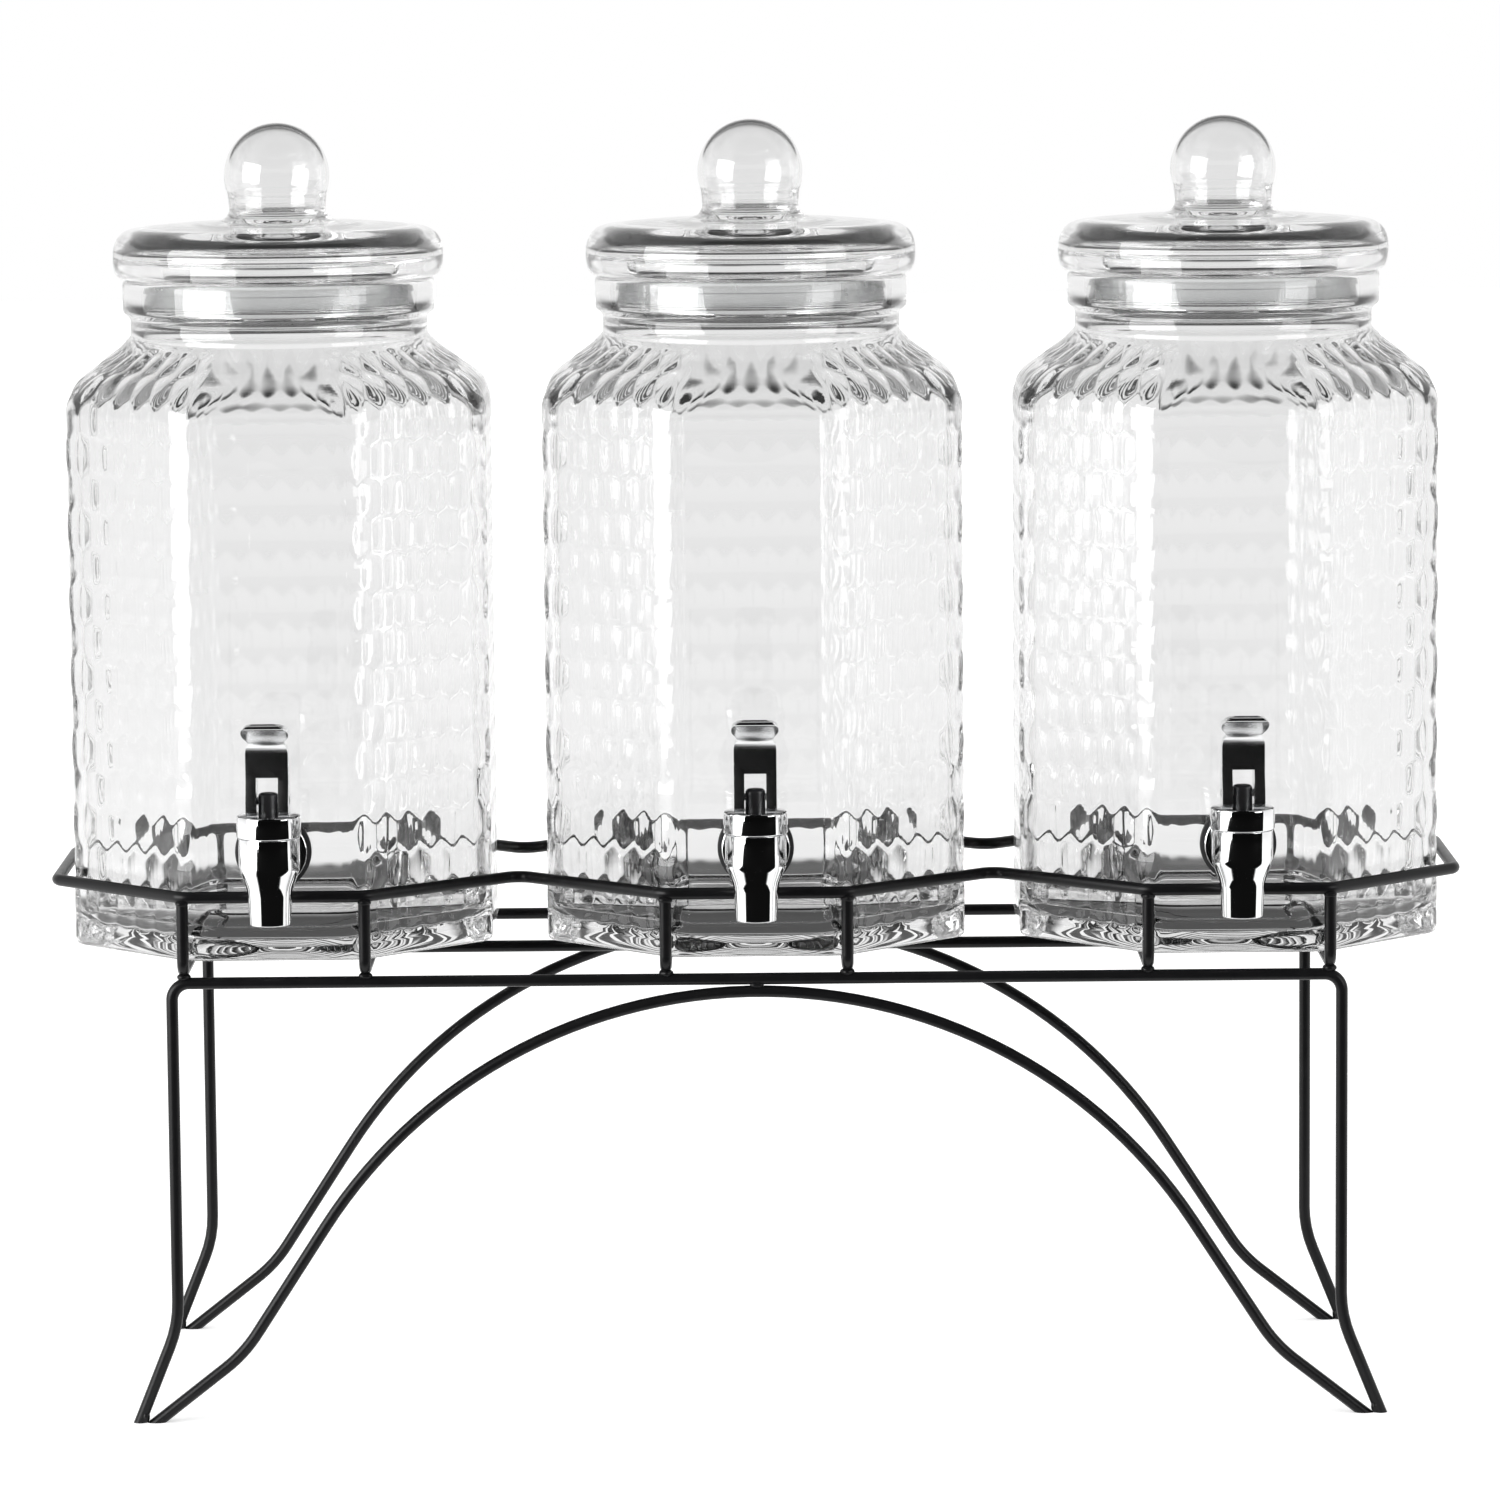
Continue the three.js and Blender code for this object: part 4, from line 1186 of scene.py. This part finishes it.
def wire(name, corners, axis, level, cyclic=False, step=wire_step):
    """A bar of the rack, bent in the plane across an axis at a level."""
    route = [lay(axis, level, place) + Vector((0, row_y, 0)) for place in rounded(corners, cyclic, step)]
    on_floor = min(place.z for place in route) < 0
    bar = bar_along(f"{name}_piece", route, wire_radius, fineness=6, cyclic=cyclic, cut_at_floor=on_floor)
    bar.data.materials.append(black_coating)
    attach(bar, "stand")
    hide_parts(name)


# %% Gallery rail
gallery_bend = 8 * mm
front_run = []
for index, bay in enumerate(bay_names):
    x = bay_x[bay]
    if index > 0:
        front_run.append((x - pitch / 2, -valley_y, gallery_bend))
    front_run.append((x - cradle_half, -gallery_y, gallery_bend))
    front_run.append((x + cradle_half, -gallery_y, gallery_bend))
end_run = [
    (last_bay + end_reach, -valley_y, gallery_bend),
    (last_bay + end_reach, valley_y, gallery_bend),
]
back_run = [(-u, -v, bend) for u, v, bend in front_run]
other_end = [(-u, -v, bend) for u, v, bend in end_run]
wire("gallery_rail", front_run + end_run + back_run + other_end, "Z", gallery_height, cyclic=True)

# %% Leg frames
shoulder_bend = 7 * mm
ankle_bend = 50 * mm
foot_flare = foot_half - leg_half
ankle = foot_flare / math.tan(leg_splay)
under_foot = foot_half + under_floor * math.tan(leg_splay)
leg_corners = [
    (-under_foot, -under_floor, 0),
    (-leg_half, ankle, ankle_bend),
    (-leg_half, rail_height, shoulder_bend),
    (leg_half, rail_height, shoulder_bend),
    (leg_half, ankle, ankle_bend),
    (under_foot, -under_floor, 0),
]
wire("front_leg_frame", leg_corners, "Y", -frame_y)
wire("back_leg_frame", leg_corners, "Y", frame_y)

# %% Arches
knee_height = 29 * mm
knee_bend = 60 * mm
arch_slope = math.radians(57)
toe_slope = math.radians(38)
apex = rail_height - 2 * wire_radius - seat_gap
toe_x = foot_half - wire_radius / math.cos(leg_splay) - wire_radius / math.sin(toe_slope) - seat_gap
knee_x = toe_x - knee_height / math.tan(toe_slope)
corner_height = knee_height + knee_x * math.tan(arch_slope)
arch_radius = (corner_height - apex) / (1 / math.cos(arch_slope) - 1)
under_toe = toe_x + under_floor / math.tan(toe_slope)
arch_corners = [
    (-under_toe, -under_floor, 0),
    (-knee_x, knee_height, knee_bend),
    (0, corner_height, arch_radius),
    (knee_x, knee_height, knee_bend),
    (under_toe, -under_floor, 0),
]
arch_step = math.radians(2)
wire("front_arch", arch_corners, "Y", -frame_y, step=arch_step)
wire("back_arch", arch_corners, "Y", frame_y, step=arch_step)

# %% Middle rail and cradle wires
rail_overhang = 4 * mm
cradle_bend = 5 * mm
rail_end = last_bay + cradle_half + rail_overhang
wire("centre_rail", [(-rail_end, rail_height, 0), (rail_end, rail_height, 0)], "Y", 0)
post_top = gallery_height - wire_radius - seat_gap
cradle_corners = [
    (-gallery_y, post_top, 0),
    (-gallery_y, cross_height, cradle_bend),
    (gallery_y, cross_height, cradle_bend),
    (gallery_y, post_top, 0),
]
for bay in bay_names:
    for end, side in (("a", -1), ("b", 1)):
        wire(f"{bay}_cradle_wire_{end}", cradle_corners, "X", bay_x[bay] + side * cradle_half)

# %% [markdown]
# ## Welds
# Where two bars touch, a bead of weld metal under the black coating joins them. A bead starts as a ball
# that is flattened along the line between the bars, and its skin is made uneven. Without the beads a thin
# gap would show between the bars.

# %% Welds
bead_reach = 2.95 * mm
bead_flat = 1.7 * mm
bead_wave = 0.25 * mm
crossing = (rail_height + cross_height) / 2
post_end = gallery_height - wire_radius
joints = []
for bay in bay_names:
    for x in (bay_x[bay] - cradle_half, bay_x[bay] + cradle_half):
        for side in (-1, 1):
            joints.append((x, side * frame_y, crossing, "Z"))
            joints.append((x, side * gallery_y, post_end, "Z"))
        joints.append((x, 0, crossing, "Z"))
for y in (-frame_y, frame_y):
    joints.append((0, y, rail_height - wire_radius, "Z"))
    joints.append((wire_radius - foot_half, y, wire_radius, "X"))
    joints.append((foot_half - wire_radius, y, wire_radius, "X"))
beads = []
for index, (x, y, z, axis) in enumerate(joints):
    clear_selection()
    bpy.ops.mesh.primitive_uv_sphere_add(segments=20, ring_count=12, radius=bead_reach)
    bead = bpy.context.object
    for vertex in bead.data.vertices:
        place = vertex.co.copy()
        swell = math.sin(place.x / bead_wave / 3 + index) * math.sin(place.y / bead_wave / 4 + 2 * index)
        place *= 1 + swell * bead_wave / bead_reach
        place["XYZ".index(axis)] *= bead_flat / bead_reach
        place.z = max(place.z, -z)
        vertex.co = place + Vector((x, y + row_y, z))
    beads.append(bead)
welds = joined(beads, "welds")
welds.data.materials.append(black_coating)
bpy.ops.object.transform_apply()
bpy.ops.object.shade_smooth()
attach(welds, "stand")

# %% [markdown]
# ## Studio
# The object stands on a white floor in a white room, and the camera sees no more than that. Clear glass and
# chrome show only what surrounds them, so for them the room has dark parts too. Rays that pass through
# glass find a dark ceiling, and a patch of painted shade on the floor under the rack, which stands in for
# the rack's shadow: these give the lids and the bases of the jars their dark bands. Rays that chrome
# mirrors find a dark front between two bright sides. So the floor and the room ask what kind of ray meets
# them.

# %% Node helpers for the studio
left_slope = 0.87
right_slope = 4


def band(source, low, high, at_low, at_high):
    """A smooth step between two values of a source."""
    step = tree.nodes.new("ShaderNodeMapRange")
    step.interpolation_type = "SMOOTHSTEP"
    for socket, value in zip(("From Min", "From Max", "To Min", "To Max"), (low, high, at_low, at_high)):
        step.inputs[socket].default_value = value
    tree.links.new(source, step.inputs["Value"])
    return step.outputs["Result"]


def combine(operation, first, second=0.0):
    """A math node on two numbers or outputs."""
    node = tree.nodes.new("ShaderNodeMath")
    node.operation = operation
    for socket, value in zip(node.inputs, (first, second)):
        if isinstance(value, (int, float)):
            socket.default_value = value
        else:
            tree.links.new(value, socket)
    return node.outputs[0]


def plus(first, second):
    return combine("ADD", first, second)


def minus(first, second):
    return combine("SUBTRACT", first, second)


def times(first, second):
    return combine("MULTIPLY", first, second)


def direction_parts(output):
    """X, Y and Z of a texture coordinate."""
    coordinate = tree.nodes.new("ShaderNodeTexCoord")
    split = tree.nodes.new("ShaderNodeSeparateXYZ")
    tree.links.new(coordinate.outputs[output], split.inputs["Vector"])
    return split.outputs["X"], split.outputs["Y"], split.outputs["Z"]


def dark_front(x, y, near, far, start, half_width, softness):
    """1 in the dark part of the studio in front of the object, between the two bright sides."""
    forward = combine("MAXIMUM", minus(times(y, -1), start), 0)
    from_left = plus(x, times(forward, left_slope))
    from_right = minus(x, times(forward, right_slope))
    right_of = band(from_left, -half_width - softness, -half_width, 0.0, 1.0)
    left_of = band(from_right, half_width, half_width + softness, 1.0, 0.0)
    beyond = band(y, far, near, 1.0, 0.0)
    return times(beyond, times(right_of, left_of))


def ray_kinds():
    """Outputs for four kinds of ray. Rays sent on by glass count as glossy too, but aren't mirrored."""
    path = tree.nodes.new("ShaderNodeLightPath")
    passed = path.outputs["Is Transmission Ray"]
    mirrored = times(path.outputs["Is Glossy Ray"], minus(1, passed))
    return path.outputs["Is Camera Ray"], path.outputs["Is Diffuse Ray"], mirrored, passed


def greys(factor, first, second):
    """A mix of two greys, the first of which may be an output."""
    mix = tree.nodes.new("ShaderNodeMix")
    mix.data_type = "RGBA"
    mix.inputs["B"].default_value = (second, second, second, 1)
    if isinstance(first, float):
        mix.inputs["A"].default_value = (first, first, first, 1)
    else:
        tree.links.new(first, mix.inputs["A"])
    tree.links.new(factor, mix.inputs["Factor"])
    return mix.outputs["Result"]


# %% Studio floor
floor_size = 16
floor_grey = 0.9
grey_through_glass = 0.3
dark_grey = 0.004
patch_half_width = 0.62
patch_half_depth = 0.5
patch_fade_shares = (0.75, 1.35)
painted_shade_share = 0.9
far_fade_shares = (1.0, 7.0)
floor_glow = (0.35, 0.75)
mirrored_glow = 0.25
passed_glow = 0.6
clear_selection()
bpy.ops.mesh.primitive_plane_add(size=floor_size)
floor = bpy.context.object
floor.name = "floor"
floor_white = finish("floor_white", (floor_grey,) * 3, 0.8, Specular_IOR_Level=0.0)
tree = floor_white.node_tree
inputs = tree.nodes["Principled BSDF"].inputs
floor_x, floor_y, _ = direction_parts("Object")
camera_ray, _, mirror_ray, passed_ray = ray_kinds()
across = combine("DIVIDE", floor_x, patch_half_width)
deep = combine("DIVIDE", floor_y, patch_half_depth)
distance = combine("SQRT", plus(times(across, across), times(deep, deep)))
# Painted shade: rays through glass see the floor under the rack darkened, in place of the rack's shadow.
painted_rack_shade = band(distance, *patch_fade_shares, painted_shade_share, 0.0)
front = dark_front(floor_x, floor_y, near=-0.205, far=-0.24, start=0.13, half_width=0.3, softness=0.08)
shade = plus(times(mirror_ray, front), times(passed_ray, painted_rack_shade))
lit = times(plus(times(mirror_ray, mirrored_glow), times(passed_ray, passed_glow)), minus(1, shade))
glow = plus(times(camera_ray, band(distance, *far_fade_shares, *floor_glow)), lit)
tree.links.new(glow, inputs["Emission Strength"])
inputs["Emission Color"].default_value = (1, 1, 1, 1)
paint = greys(shade, greys(passed_ray, floor_grey, grey_through_glass), dark_grey)
tree.links.new(paint, inputs["Base Color"])
floor.data.materials.append(floor_white)

# %% Studio room
room_light = 0.8
front_dark_share = 0.995
ceiling_rise = (0.1, 0.2)
ceiling_light = (0.85, 0.03)
back_turn = (-0.3, -0.05)
back_light = (0.3, 1.0)
mirrored_rise = (0.35, 0.8)
mirrored_light = (0.95, 0.4)
world = bpy.data.worlds.new("studio")
bpy.context.scene.world = world
world.use_nodes = True
tree = world.node_tree
background = tree.nodes["Background"]
direction_x, direction_y, direction_z = direction_parts("Generated")
camera_ray, diffuse_ray, mirror_ray, passed_ray = ray_kinds()
through = times(
    band(direction_z, *ceiling_rise, *ceiling_light), band(direction_y, *back_turn, *back_light),
)
room_front = dark_front(
    direction_x, direction_y, near=-0.1, far=-0.25, start=0.0, half_width=0.0, softness=0.12,
)
mirrored = times(
    band(direction_z, *mirrored_rise, *mirrored_light), minus(1, times(room_front, front_dark_share)),
)
shown = plus(times(passed_ray, through), times(mirror_ray, mirrored))
strength = plus(shown, plus(times(diffuse_ray, room_light), camera_ray))
tree.links.new(strength, background.inputs["Strength"])
background.inputs["Color"].default_value = (1, 1, 1, 1)

# %% [markdown]
# Two softboxes stand to the left and right in front of the object, the left one wider and brighter. Their
# mirror images are the white shapes on the knobs and the white blocks on the chrome. A third one overhead
# only gives light.

# %% Softboxes


def softbox(name, place, width, height, power, mirrored_too=True):
    light = bpy.data.lights.new(name, "AREA")
    light.shape = "RECTANGLE"
    light.size = width
    light.size_y = height
    light.energy = power
    box = bpy.data.objects.new(name, light)
    aim = Vector((0, 0, jar_base)) - Vector(place)
    box.matrix_world = Matrix.Translation(place) @ aim.to_track_quat("-Z", "Y").to_matrix().to_4x4()
    box.visible_camera = False
    box.visible_glossy = mirrored_too
    box.visible_transmission = mirrored_too
    bpy.context.collection.objects.link(box)


softbox("softbox_left", place=(-2.06, -1.24, 0.75), width=1.84, height=1.5, power=54)
softbox("softbox_right", place=(2.02, -1.29, 0.85), width=1.06, height=1.2, power=14)
softbox("softbox_top", place=(0, 0.2, 2.4), width=1.6, height=1.2, power=14, mirrored_too=False)
